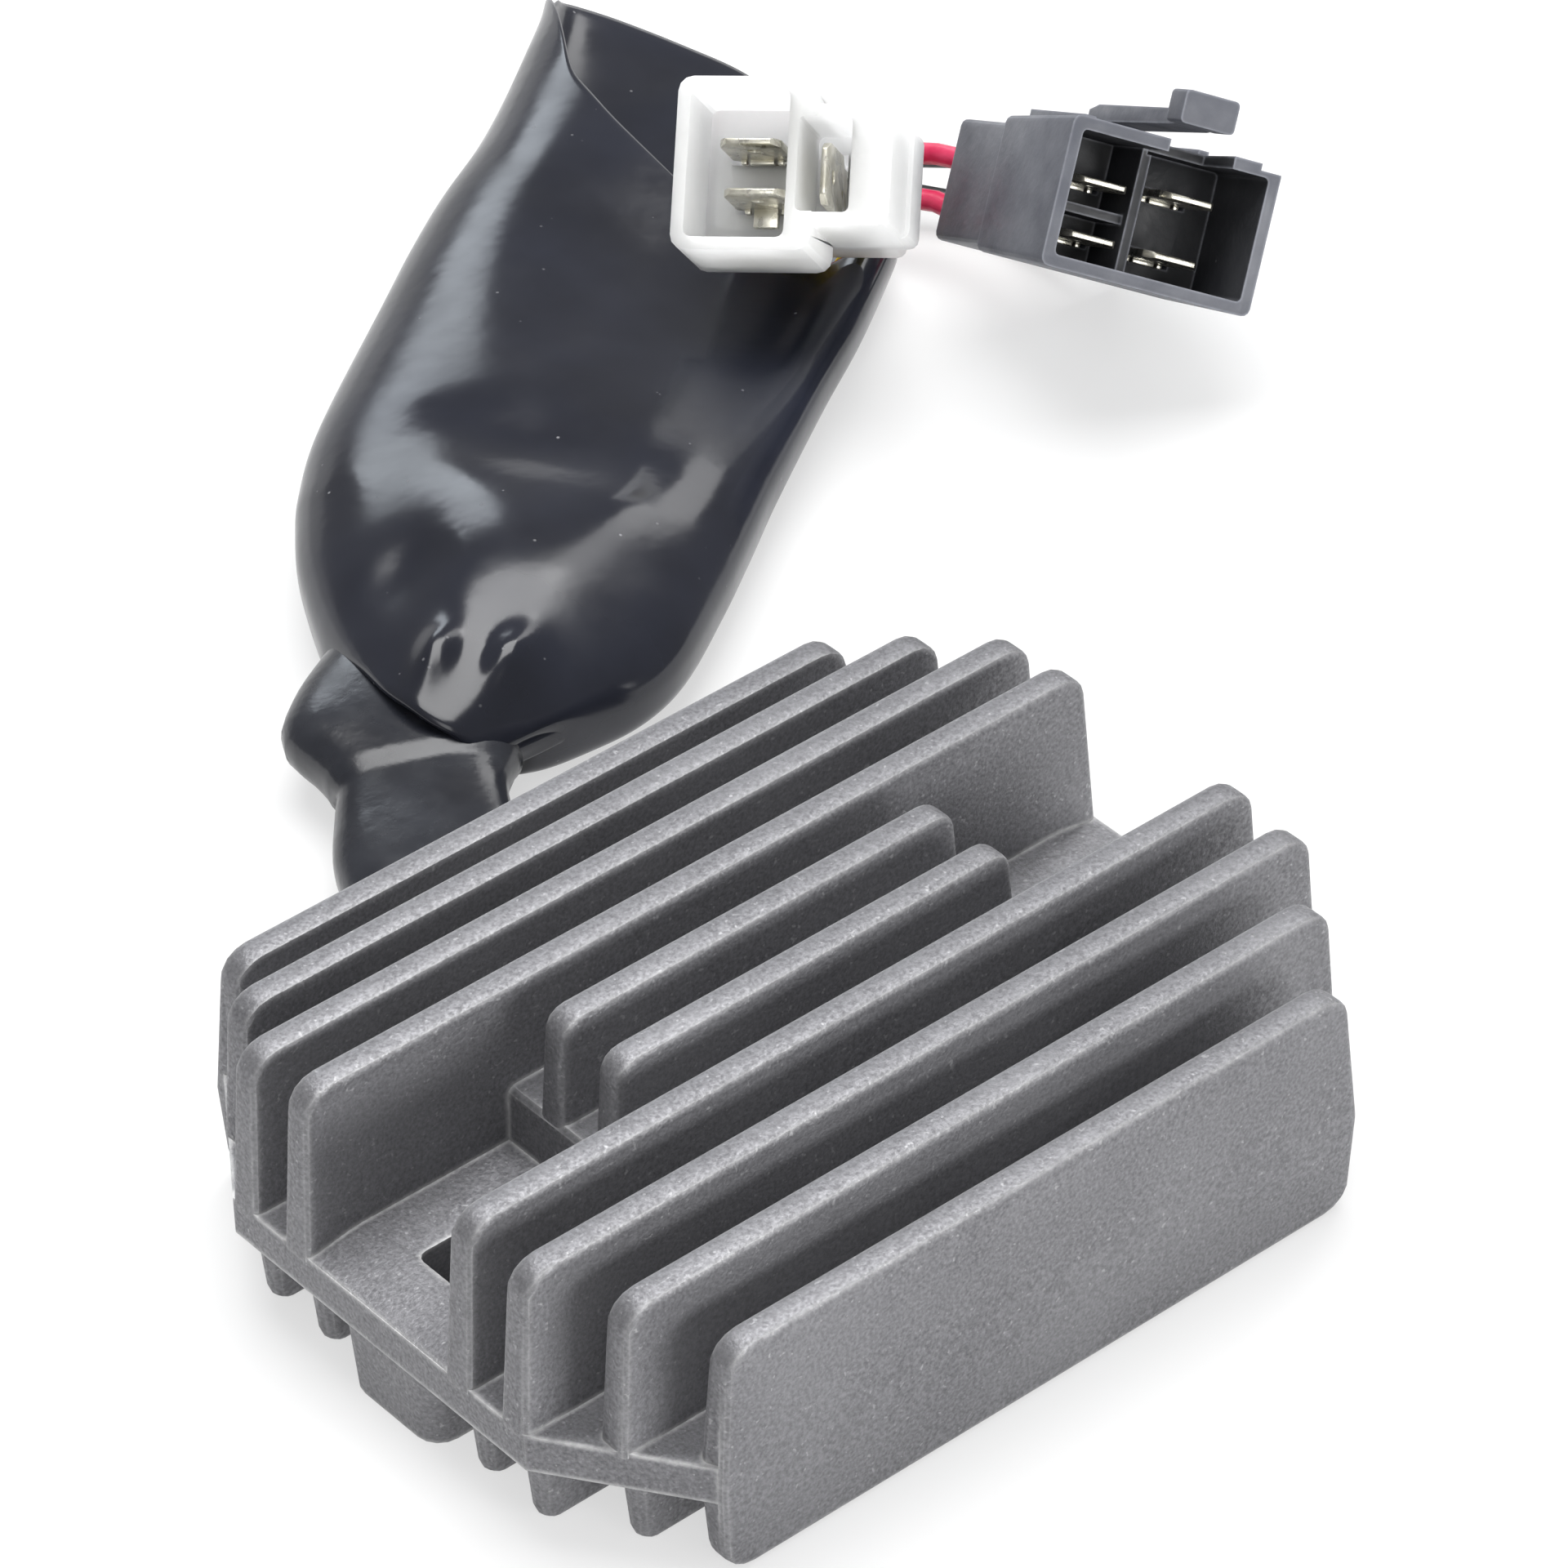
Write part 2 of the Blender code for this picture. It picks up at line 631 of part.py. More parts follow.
def boot_section(right, left, along, height, less):
    """One ring: right and left hold (along, across) at the two edges, height three levels."""
    fold, crown, floor = height
    count = 36
    ring = []
    reach = math.hypot(left[0] - right[0], left[1] - right[1]) / 2
    for step in range(count):
        angle = 2 * math.pi * step / count
        share = 0.5 - 0.5 * math.cos(angle) * (1 - less / reach)
        rise = abs(math.sin(angle))
        if step <= count // 2:
            z = fold + (crown - less - fold) * rise ** 0.95
        else:
            z = fold - (fold - floor - less) * rise ** 0.62
        s = right[0] + (left[0] - right[0]) * share
        if along is not None:
            upper = step <= count // 2
            s += (mouth(share, upper) - right[0]) * along
        ring.append((s, right[1] + (left[1] - right[1]) * share, z))
    return ring


def boot_rings(less):
    """Rings from the opening for the sleeve, over the closed end, to the mouth."""
    right = ((48.6, 38.6), (48.9, 36.2), (50.3, 33.4), (54.0, 29.2), (61.5, 26.8), (76.0, 26.4))
    left = ((55.3, 62.2), (56.4, 62.9), (58.8, 63.8), (62.8, 66.0), (68.4, 68.7), (76.0, 71.4))
    entry = (BOOT_ENTRY_FOLD / MM, BOOT_ENTRY_CROWN / MM, BOOT_ENTRY_FLOOR / MM)
    full = (BOOT_FOLD / MM, BOOT_CROWN / MM, BOOT_FLOOR / MM)
    rings = []
    for at in range(6):
        share = math.sin(math.pi / 2 * at / 5)
        height = [low + (high - low) * share for low, high in zip(entry, full)]
        rings.append(boot_section(right[at], left[at], None, height, less))
    for share in (0.06, 0.14, 0.24, 0.36, 0.48, 0.60, 0.72, 0.84, 0.93, 1.0):
        ring = boot_section((76.0, 26.4), (76.0, 71.4), share, full, less)
        moved = []
        for s, t, z in ring:
            own_right, own_left = boot_edges(s)
            across = (t - 26.4) / (71.4 - 26.4)
            if z > full[0]:
                pressed = ease((s - 86.0) / 41.0) * (1.0 - ease((t - 36.0) / 36.0))
                pressed *= ease((t - 25.5) / 7.5)
                lower = pressed * BOOT_PRESSED / (BOOT_CROWN - BOOT_FOLD)
                z = full[0] + (z - full[0]) * (1.0 - lower)
            moved.append((s, own_right + (own_left - own_right) * across, z))
        rings.append(moved)
    return [[boot_point(s, t, z) for s, t, z in ring] for ring in rings]


def boot(made):
    item = shell("connector_boot", boot_rings(0.0), boot_rings(BOOT_WALL / MM), made)
    shade(item.data, 60.0)
    return item


def placement(at, right, up):
    """Matrix that carries a connector from its own directions to its place."""
    side = Vector(right).normalized()
    high = Vector(up)
    high = (high - side * high.dot(side)).normalized()
    front = side.cross(high)
    turned = Matrix((side, high, front)).transposed()
    return Matrix.Translation(Vector(at)) @ turned.to_4x4()


def place(item, matrix):
    item.data.transform(matrix)
    item.data.update()
    return item


def tapered(name, half_low, half_high, z_low, z_high, radius, at=(0.0, 0.0)):
    """A body between two rectangles with round corners."""
    rings = []
    for half, z in ((half_low, z_low), (half_high, z_high)):
        rings.append([(x, y, z) for x, y in rounded(half[0], half[1], radius, 3, at)])
    return loft(name, rings)


def white_blades():
    """Middle of each blade and whether it stands upright."""
    return ((-0.1 * MM, 2.6 * MM, False), (0.6 * MM, -2.5 * MM, False), (7.8 * MM, -0.4 * MM, True))


def black_blades():
    return (
        (-5.6 * MM, 1.8 * MM, False),
        (4.4 * MM, 2.4 * MM, False),
        (-5.5 * MM, -3.8 * MM, False),
        (4.1 * MM, -3.8 * MM, False),
    )


def blade(name, where, floor, matrix, made):
    """A flat blade with a tapered tip, from inside the body to the shroud."""
    x, y, upright = where
    half_wide, half_thick = BLADE_WIDE / 2, BLADE_THICK / 2
    back = floor - 5.0 * MM
    tip = floor + BLADE_OUT
    rings = []
    for z, wide, thick in ((back, 1.0, 1.0), (tip - 0.9 * MM, 1.0, 1.0), (tip, 0.9, 0.45)):
        reach = (half_wide * wide, half_thick * thick)
        if upright:
            reach = (reach[1], reach[0])
        corners = ((1, 1), (-1, 1), (-1, -1), (1, -1))
        rings.append([(x + sx * reach[0], y + sy * reach[1], z) for sx, sy in corners])
    item = loft(name, rings, made)
    shade(item.data, 30.0)
    return place(item, matrix)


def blade_slots(places, floor):
    """The room that each blade and its wire take in the body."""
    cuts = []
    for x, y, upright in places:
        reach = (BLADE_WIDE / 2 + GAP, BLADE_THICK / 2 + GAP)
        if upright:
            reach = (reach[1], reach[0])
        low = (x - reach[0], y - reach[1], floor - 5.0 * MM - GAP)
        high = (x + reach[0], y + reach[1], floor + 1.0 * MM)
        cuts.append(block("slot", low, high))
    return cuts


def wire_holes(places, top, bottom):
    cuts = []
    for x, y, upright in places:
        half = WIRE_RADIUS + 1.6 * GAP
        outline = rounded(half, half, half - 0.05 * MM, 3, (x, y))
        cuts.append(prism("hole", outline, bottom, top))
    return cuts


def white_housing(made, matrix):
    main_half = (WHITE_MAIN_WIDE / 2, WHITE_MAIN_TALL / 2)
    side_half = (WHITE_SIDE_WIDE / 2 + 1.0 * MM, WHITE_SIDE_TALL / 2)
    side_at = (main_half[0] + side_half[0] - 2.0 * MM, 0.0)
    base = tapered("white_connector_housing", main_half, main_half, -WHITE_SHROUD_DEEP, 0.0, 1.5 * MM)
    side_back = -WHITE_SHROUD_DEEP + 0.01 * MM
    added = [tapered("side", side_half, side_half, side_back, -0.4 * MM, 1.2 * MM, side_at)]
    flange_half = (side_half[0] + 0.5 * MM, side_half[1] - 0.3 * MM)
    flange = tapered("flange", flange_half, flange_half, -13.0 * MM, -8.2 * MM, 1.0 * MM, side_at)
    added.append(flange)
    rear_back = -WHITE_SHROUD_DEEP - WHITE_REAR_DEEP
    rear_half = (main_half[0] + 1.6 * MM, 5.0 * MM)
    rear_at = (3.4 * MM, 0.4 * MM)
    added.append(tapered("rear", rear_half, rear_half, rear_back, -9.9 * MM, 1.0 * MM, rear_at))
    combine(base, added, "UNION")
    floor = -9.6 * MM
    wall = WHITE_WALL
    low = (-main_half[0] + wall, -main_half[1] + wall, floor)
    high = (4.4 * MM, main_half[1] - wall, 1.0 * MM)
    cuts = [block("left", low, high, None, 0.8 * MM)]
    low = (5.4 * MM, -side_half[1] + wall, floor)
    high = (10.8 * MM, side_half[1] - wall, 1.0 * MM)
    cuts.append(block("right", low, high, None, 0.6 * MM))
    cuts += blade_slots(white_blades(), floor)
    cuts += wire_holes(white_blades(), floor - 4.0 * MM, rear_back - 1.0 * MM)
    combine(base, cuts, "DIFFERENCE")
    tidy(base)
    base.data.materials.clear()
    base.data.materials.append(made)
    return place(base, matrix)


def latch():
    """The latch arm over the top wall, from its rear root to its thumb pad, and two rails."""
    half = 2.1 * MM
    x = 2.7 * MM
    rows = (
        (-22.5, 5.8, 10.2),
        (-20.5, 5.8, 10.8),
        (-20.3, 9.0, 10.8),
        (-4.0, 9.5, 11.1),
        (-2.6, 9.7, 11.2),
    )
    rings = []
    for z, low, high in rows:
        corners = ((half, high), (-half, high), (-half, low), (half, low))
        rings.append([(x + across, up * MM, z * MM) for across, up in corners])
    arm = loft("arm", rings)
    pad_low = (x - 3.1 * MM, 9.6 * MM, -3.4 * MM)
    pad_high = (x + 3.1 * MM, 13.0 * MM, -0.2 * MM)
    parts = [arm, block("pad", pad_low, pad_high, None, 0.5 * MM)]
    for rail_x in (-6.9 * MM, 9.7 * MM):
        rail_low = (rail_x, 6.0 * MM, -20.5 * MM)
        parts.append(block("rail", rail_low, (rail_x + 1.2 * MM, 8.5 * MM, -8.0 * MM)))
    return parts


def black_housing(made, matrix):
    front_half = (BLACK_WIDE / 2, BLACK_TALL / 2)
    middle_half = (front_half[0] - BLACK_STEP, front_half[1] - BLACK_STEP)
    rear_half = (front_half[0] - 2.2 * BLACK_STEP, front_half[1] - 2.2 * BLACK_STEP)
    base = tapered("black_connector_housing", middle_half, front_half, -BLACK_MIDDLE_AT, 0.0, 0.9 * MM)
    rear_front = -BLACK_MIDDLE_AT + 1.0 * MM
    rear = tapered("rear", rear_half, rear_half, -BLACK_REAR_AT, rear_front, 0.8 * MM)
    combine(base, [rear] + latch(), "UNION")
    floor = -BLACK_SHROUD_DEEP
    wall = BLACK_WALL
    half_x, half_y = front_half
    low = (half_x - 2.4 * MM, half_y - 0.7 * MM, -BLACK_MIDDLE_AT + 2.0 * MM)
    high = (half_x + 1.0 * MM, half_y + 1.0 * MM, 1.0 * MM)
    combine(base, [block("notch", low, high)], "DIFFERENCE")
    low = (wall - half_x, wall - half_y, floor)
    recess = block("recess", low, (half_x - wall, half_y - wall, 1.0 * MM), None, 0.5 * MM)
    low = (-1.6 * MM, 1.0 * MM - half_y, floor - 1.0 * MM)
    post = block("post", low, (-0.5 * MM, half_y - 1.0 * MM, -4.4 * MM))
    low = (1.0 * MM - half_x, -1.6 * MM, floor - 1.0 * MM)
    shelf = block("shelf", low, (-1.0 * MM, -0.6 * MM, -5.4 * MM))
    combine(recess, [post, shelf], "DIFFERENCE")
    cuts = [recess]
    cuts += blade_slots(black_blades(), floor)
    cuts += wire_holes(black_blades(), floor - 4.0 * MM, -BLACK_REAR_AT - 1.0 * MM)
    low = (-1.0 * MM, half_y - wall - 0.5 * MM, -6.5 * MM)
    cuts.append(block("window", low, (6.5 * MM, half_y + 0.6 * MM, 1.0 * MM)))
    combine(base, cuts, "DIFFERENCE")
    tidy(base)
    base.data.materials.clear()
    base.data.materials.append(made)
    return place(base, matrix)


def grommet(made):
    half = EXIT_WIDE / 2 - GAP
    low_y = POCKET_HALF_WIDE + GAP
    face = PLATE_HALF_WIDE + GAP
    high = (EXIT_X + half, face + 0.5 * MM, EXIT_TOP - GAP)
    base = block("wire_grommet", (EXIT_X - half, low_y, 0.5 * MM), high, made)
    lip_out = half + GROMMET_LIP_OUT
    high = (EXIT_X + lip_out, face + GROMMET_LIP, EXIT_TOP + 0.7 * MM)
    lip = block("lip", (EXIT_X - lip_out, face, 0.3 * MM), high)
    combine(base, [lip], "UNION")
    cuts = []
    for number in range(1, 8):
        across, up = bundle_offset(number)
        reach = WIRE_RADIUS + GAP
        middle = Vector((EXIT_X + across, 0.0, BUNDLE_HEIGHT + up))
        rings = []
        for y in (low_y - 1.0 * MM, face + 3.0 * MM):
            ring = rounded(reach, reach, reach - 0.05 * MM, 3)
            rings.append([(middle.x + x, y, middle.z + z) for x, z in ring])
        cuts.append(loft("hole", rings))
    combine(base, cuts, "DIFFERENCE")
    return tidy(base)


def power_box(number, row, grow):
    """Low and high corner of power part 1 to 3 in row +1 or -1."""
    x = (number - 2) * (POWER_LONG + POWER_BETWEEN)
    bottom = BOARD_BOTTOM + BOARD_THICK + GAP
    top = PLATE_TOP - PLATE_THICK - GAP
    low = (x - POWER_LONG / 2 - grow, row * POWER_Y - POWER_WIDE / 2 - grow, bottom - grow)
    high = (x + POWER_LONG / 2 + grow, row * POWER_Y + POWER_WIDE / 2 + grow, top + grow * 4)
    return low, high


def board_box(grow):
    low = (-BOARD_LONG / 2 - grow, -BOARD_WIDE / 2 - grow, BOARD_BOTTOM - grow)
    high = (BOARD_LONG / 2 + grow, BOARD_WIDE / 2 + grow, BOARD_BOTTOM + BOARD_THICK + grow)
    return low, high


def control_box(grow):
    bottom = BOARD_BOTTOM + BOARD_THICK + GAP
    low = (CONTROL_X - CONTROL_LONG / 2 - grow, -CONTROL_WIDE / 2 - grow, bottom - grow)
    high = (CONTROL_X + CONTROL_LONG / 2 + grow, CONTROL_WIDE / 2 + grow, bottom + CONTROL_TALL + grow)
    return low, high


def capacitor(name, grow, made=None):
    middle = BOARD_BOTTOM + BOARD_THICK + GAP + CAPACITOR_RADIUS
    rings = []
    half = CAPACITOR_LONG / 2 + grow
    reach = CAPACITOR_RADIUS + grow
    for x, less in ((-half, 0.4 * MM), (-half + 0.4 * MM, 0.0), (half - 0.4 * MM, 0.0), (half, 0.4 * MM)):
        ring = []
        for step in range(20):
            angle = 2 * math.pi * step / 20
            y = (reach - less) * math.cos(angle)
            ring.append((CAPACITOR_X + x, y, middle + (reach - less) * math.sin(angle)))
        rings.append(ring)
    return loft(name, rings, made)


def resin(made):
    roof = PLATE_TOP - PLATE_THICK - GAP
    half = (POCKET_HALF_LONG - GAP, POCKET_HALF_WIDE - GAP)
    base = prism("potting_resin", rounded(half[0], half[1], 1.3 * MM, 3), RESIN_BOTTOM, roof, made)
    reach = (CAVITY_HALF_LONG - GAP, CAVITY_HALF_WIDE - GAP)
    top = CAVITY_ROOF - GAP
    rise = prism("rise", rounded(reach[0], reach[1], 1.3 * MM, 3), roof - 1.0 * MM, top)
    combine(base, [rise], "UNION")
    low, high = board_box(GAP)
    cuts = [block("board", low, high)]
    for row in (-1, 1):
        for number in (1, 2, 3):
            low, high = power_box(number, row, GAP)
            cuts.append(block("power", low, high))
    low, high = control_box(GAP)
    cuts.append(block("control", low, (high[0], high[1], top + 1.0 * MM)))
    middle = BOARD_BOTTOM + BOARD_THICK + GAP
    reach = (CAPACITOR_LONG / 2 + GAP, CAPACITOR_RADIUS + GAP)
    low = (CAPACITOR_X - reach[0], -reach[1], middle - GAP)
    cuts.append(block("capacitor", low, (CAPACITOR_X + reach[0], reach[1], top + 1.0 * MM)))
    wide = 1.5 * WIRE_ACROSS + WIRE_RADIUS + 2 * GAP
    low = (EXIT_X - wide, POCKET_HALF_WIDE - 6.7 * MM, 2.0 * MM)
    high = (EXIT_X + wide, POCKET_HALF_WIDE + 1.0 * MM, roof + 1.0 * MM)
    cuts.append(block("wires", low, high))
    combine(base, cuts, "DIFFERENCE")
    return tidy(base)


def lane_marks(number):
    """Where wire 1 to 7 runs inside the boot, from the sleeve to the mouth."""
    lanes = {
        1: ((84.0, 54.2, 4.6), (95.0, 52.8, 4.0), (106.0, 51.6, 3.6), (118.0, 51.2, 3.4)),
        2: ((84.0, 46.4, 4.8), (95.0, 42.2, 4.2), (106.0, 39.5, 3.6), (118.0, 39.0, 3.2)),
        3: ((84.0, 43.0, 4.8), (95.0, 38.9, 4.2), (106.0, 36.3, 3.8), (118.0, 35.8, 3.6)),
        4: ((84.0, 39.6, 4.8), (95.0, 35.6, 4.4), (106.0, 33.1, 4.3), (118.0, 32.6, 4.2)),
        5: ((84.0, 51.6, 7.6), (95.0, 49.8, 5.4), (106.0, 48.6, 3.8), (118.0, 48.2, 3.4)),
        6: ((84.0, 48.4, 8.2), (95.0, 46.7, 6.6), (106.0, 45.6, 4.4), (118.0, 45.2, 3.4)),
        7: ((84.0, 45.2, 8.3), (95.0, 43.6, 7.4), (106.0, 42.6, 4.8), (118.0, 42.2, 3.6)),
    }
    return [boot_point(*mark) for mark in lanes[number]]


def loop_under(start, away, low, drift):
    """Bends a wire from this way out of a connector down and back to this height."""
    along = boot_point(1.0, 0.0, 0.0).normalized()
    left = boot_point(0.0, 1.0, 0.0).normalized()
    tilt = math.atan2(away.z, away.dot(along))
    radius = (start.z - low) / (1.0 + math.cos(tilt))
    middle = start + radius * (math.sin(tilt) * along - math.cos(tilt) * Vector((0.0, 0.0, 1.0)))
    marks = []
    for step in range(6):
        angle = tilt + (-math.pi - tilt) * step / 5
        mark = middle - radius * math.sin(angle) * along + left * drift * ease(step / 5)
        mark.z = middle.z + radius * math.cos(angle)
        marks.append(mark)
    return marks[::-1]


def loop_aside(start, away, lane, heights):
    """Bends a wire on the table from this way out of a connector round to its lane."""
    along = boot_point(1.0, 0.0, 0.0).normalized()
    left = boot_point(0.0, 1.0, 0.0).normalized()
    heading = math.atan2(away.dot(left), away.dot(along))
    radius = (lane - start.dot(left)) / (1.0 + math.cos(heading))
    middle = start + radius * (math.cos(heading) * left - math.sin(heading) * along)
    marks = []
    for step, height in enumerate(heights):
        angle = heading + (math.pi - heading) * step / (len(heights) - 1)
        mark = middle + radius * (math.sin(angle) * along - math.cos(angle) * left)
        mark.z = height * MM
        marks.append(mark)
    return marks[:0:-1]


def yellow_route(number):
    """From the bundle through the boot's mouth and up into the white connector."""
    matrix = placement(WHITE_AT, WHITE_RIGHT, WHITE_UP)
    away = -matrix.col[2].to_3d()
    terminal, bundle, low, drift = (
        (0, 2, 3.2, 3.4),
        (1, 3, 3.3, 0.8),
        (2, 4, 4.2, 4.7),
    )[number - 1]
    x, y, upright = white_blades()[terminal]
    back = -WHITE_SHROUD_DEEP - WHITE_REAR_DEEP
    start = matrix @ Vector((x, y, back - 0.5 * MM))
    route = bundle_route(bundle) + lane_marks(bundle)
    route += loop_under(start, away, low * MM, drift * MM)
    route.append(matrix @ Vector((x, y, back + 3.0 * MM)))
    route.append(matrix @ Vector((x, y, -15.2 * MM)))
    return route


def black_route(number):
    """From the bundle under the white connector into the black one, for wires 1, 5, 6 and 7."""
    matrix = placement(BLACK_AT, BLACK_RIGHT, BLACK_UP)
    away = -matrix.col[2].to_3d()
    terminal, lane, heights = {
        7: (2, 42.2, (8.3, 8.2, 7.0, 5.4, 4.2, 3.6)),
        6: (0, 45.2, (12.7, 11.4, 9.4, 7.6, 6.2, 3.8)),
        5: (3, 48.2, (4.1, 3.5, 3.6, 3.9, 3.6, 3.5)),
        1: (1, 51.2, (8.5, 6.6, 4.8, 4.0, 3.6, 3.5)),
    }[number]
    x, y, upright = black_blades()[terminal]
    start = matrix @ Vector((x, y, -BLACK_REAR_AT - 2.0 * MM))
    route = bundle_route(number) + lane_marks(number)
    route += loop_aside(start, away, lane * MM, heights)
    route.append(matrix @ Vector((x, y, -BLACK_REAR_AT - 2.0 * MM)))
    route.append(matrix @ Vector((x, y, -BLACK_REAR_AT + 1.0 * MM)))
    route.append(matrix @ Vector((x, y, -BLACK_REAR_AT + 4.0 * MM)))
    route.append(matrix @ Vector((x, y, -17.0 * MM)))
    return route


def electronics(body, board_made, silver, green):
    low, high = board_box(0.0)
    item = block("circuit_board", low, high, board_made)
    shade(item.data)
    for row, name in ((1, "thyristor"), (-1, "diode")):
        for number in (1, 2, 3):
            low, high = power_box(number, row, 0.0)
            item = block(f"{name}_{number}", low, high, body, 0.5 * MM)
            shade(item.data)
    low, high = control_box(0.0)
    item = block("control_module", low, high, green, 0.6 * MM)
    shade(item.data)
    item = capacitor("filter_capacitor", 0.0, silver)
    shade(item.data)


def main():
    clear_scene()
    aluminium = material("cast_aluminium", (0.30, 0.30, 0.31), 0.6, 0.55)
    rubber = material("black_rubber", (0.03, 0.03, 0.03), 0.0, 0.7)
    vinyl = material("black_vinyl", (0.02, 0.022, 0.03), 0.0, 0.25)
    natural = material("natural_nylon", (0.85, 0.86, 0.84), 0.0, 0.4)
    dark = material("black_nylon", (0.035, 0.037, 0.042), 0.0, 0.5)
    tin = material("tinned_brass", (0.75, 0.73, 0.66), 0.9, 0.35)
    yellow = material("yellow_insulation", (0.85, 0.62, 0.05), 0.0, 0.4)
    red = material("red_insulation", (0.75, 0.03, 0.03), 0.0, 0.4)
    black = material("black_insulation", (0.02, 0.02, 0.02), 0.0, 0.4)
    filling = material("black_resin", (0.03, 0.03, 0.032), 0.0, 0.35)
    body = material("moulded_epoxy", (0.03, 0.03, 0.03), 0.0, 0.5)
    laminate = material("board_laminate", (0.05, 0.22, 0.08), 0.0, 0.5)
    can = material("capacitor_can", (0.10, 0.12, 0.25), 0.2, 0.4)
    coating = material("dipped_coating", (0.35, 0.20, 0.08), 0.0, 0.45)

    heat_sink(aluminium)
    resin(filling)
    electronics(body, laminate, can, coating)
    grommet(rubber)
    sleeve(vinyl)
    boot(vinyl)
    white_at = placement(WHITE_AT, WHITE_RIGHT, WHITE_UP)
    black_at = placement(BLACK_AT, BLACK_RIGHT, BLACK_UP)
    white_housing(natural, white_at)
    black_housing(dark, black_at)
    for number, where in enumerate(white_blades(), 1):
        blade(f"white_terminal_{number}", where, -9.6 * MM, white_at, tin)
    for number, where in enumerate(black_blades(), 1):
        blade(f"black_terminal_{number}", where, -BLACK_SHROUD_DEEP, black_at, tin)
    for number in (1, 2, 3):
        cord(f"yellow_wire_{number}", yellow_route(number), yellow)
    for name, number in (("red_wire_1", 7), ("red_wire_2", 6)):
        cord(name, black_route(number), red)
    for name, number in (("black_wire_1", 5), ("black_wire_2", 1)):
        cord(name, black_route(number), black)


main()
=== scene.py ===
import math

import bmesh
import bpy
from mathutils import Matrix, Vector


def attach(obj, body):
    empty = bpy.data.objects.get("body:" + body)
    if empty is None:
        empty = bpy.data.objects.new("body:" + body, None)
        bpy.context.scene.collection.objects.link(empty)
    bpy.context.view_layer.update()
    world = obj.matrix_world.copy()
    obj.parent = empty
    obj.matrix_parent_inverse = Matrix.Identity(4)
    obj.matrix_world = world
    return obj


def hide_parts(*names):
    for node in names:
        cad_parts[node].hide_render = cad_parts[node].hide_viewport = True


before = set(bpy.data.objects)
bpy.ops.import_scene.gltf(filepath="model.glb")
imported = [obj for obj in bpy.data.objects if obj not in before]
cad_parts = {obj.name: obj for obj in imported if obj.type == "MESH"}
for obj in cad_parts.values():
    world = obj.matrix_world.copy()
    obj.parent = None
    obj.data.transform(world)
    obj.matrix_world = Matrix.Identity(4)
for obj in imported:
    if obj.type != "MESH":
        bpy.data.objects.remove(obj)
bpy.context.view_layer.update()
bpy.ops.object.select_all(action="DESELECT")

# The camera looks down over the near end of the fins, from where the photographer stood.
# Its place and direction were fitted to the corners of the casting.
camera = bpy.data.objects.new("camera", bpy.data.cameras.new("camera"))
camera.data.sensor_width = 36.0
camera.data.lens = 181.82
camera.data.clip_start = 0.05
camera.data.clip_end = 20.0
across = Vector((0.76164046, -0.64770795, -0.01944808))
upward = Vector((0.4141856, 0.46352115, 0.78332524))
backward = Vector((-0.49835139, -0.60466731, 0.62130777))
camera.matrix_world = Matrix.Translation((-0.3403726, -0.4140934, 0.4713047)) @ Matrix(
    (across, upward, backward)
).transposed().to_4x4()
bpy.context.scene.collection.objects.link(camera)
bpy.context.scene.camera = camera
bpy.context.scene.view_settings.view_transform = "Standard"

# The studio is a white sweep under broad soft lamps, as for a catalogue picture.
# The floor shows white to the camera and still takes the object's shadow.
bpy.ops.mesh.primitive_plane_add(size=6.0, location=(0.0, 0.0, 0.0))
floor = bpy.context.object
floor.name = "studio_floor"
paper = bpy.data.materials.new("white_paper")
paper.use_nodes = True
paper_nodes = paper.node_tree.nodes
paper_links = paper.node_tree.links
paper_shader = paper_nodes["Principled BSDF"]
paper_shader.inputs["Base Color"].default_value = (0.9, 0.9, 0.9, 1.0)
paper_shader.inputs["Roughness"].default_value = 0.9
glow = paper_nodes.new("ShaderNodeEmission")
glow.inputs["Color"].default_value = (1.0, 1.0, 1.0, 1.0)
path = paper_nodes.new("ShaderNodeLightPath")
share = paper_nodes.new("ShaderNodeMath")
share.operation = "MULTIPLY"
share.inputs[1].default_value = 0.6
seen = paper_nodes.new("ShaderNodeMath")
seen.operation = "MAXIMUM"
paper_links.new(path.outputs["Is Camera Ray"], seen.inputs[0])
paper_links.new(path.outputs["Is Glossy Ray"], seen.inputs[1])
through = paper_nodes.new("ShaderNodeMath")
through.operation = "MAXIMUM"
paper_links.new(seen.outputs[0], through.inputs[0])
paper_links.new(path.outputs["Is Transmission Ray"], through.inputs[1])
paper_links.new(through.outputs[0], share.inputs[0])
blended = paper_nodes.new("ShaderNodeMixShader")
paper_links.new(share.outputs[0], blended.inputs[0])
paper_links.new(paper_shader.outputs[0], blended.inputs[1])
paper_links.new(glow.outputs[0], blended.inputs[2])
paper_links.new(blended.outputs[0], paper_nodes["Material Output"].inputs["Surface"])
floor.data.materials.append(paper)

# An upright strip of the same paper stands at the far end, where the glossy skins mirror it.
facing = (math.radians(90.0), 0.0, math.radians(-17.0))
bpy.ops.mesh.primitive_plane_add(size=1.0, location=(0.76, 2.49, 0.27), rotation=facing)
sweep = bpy.context.object
sweep.name = "studio_sweep"
sweep.scale = (5.0, 0.54, 1.0)
sweep.data.materials.append(paper)

world = bpy.data.worlds.new("studio")
world.use_nodes = True
sky = world.node_tree.nodes["Background"].inputs
sky["Color"].default_value = (1.0, 1.0, 1.0, 1.0)
sky["Strength"].default_value = 0.33
bpy.context.scene.world = world


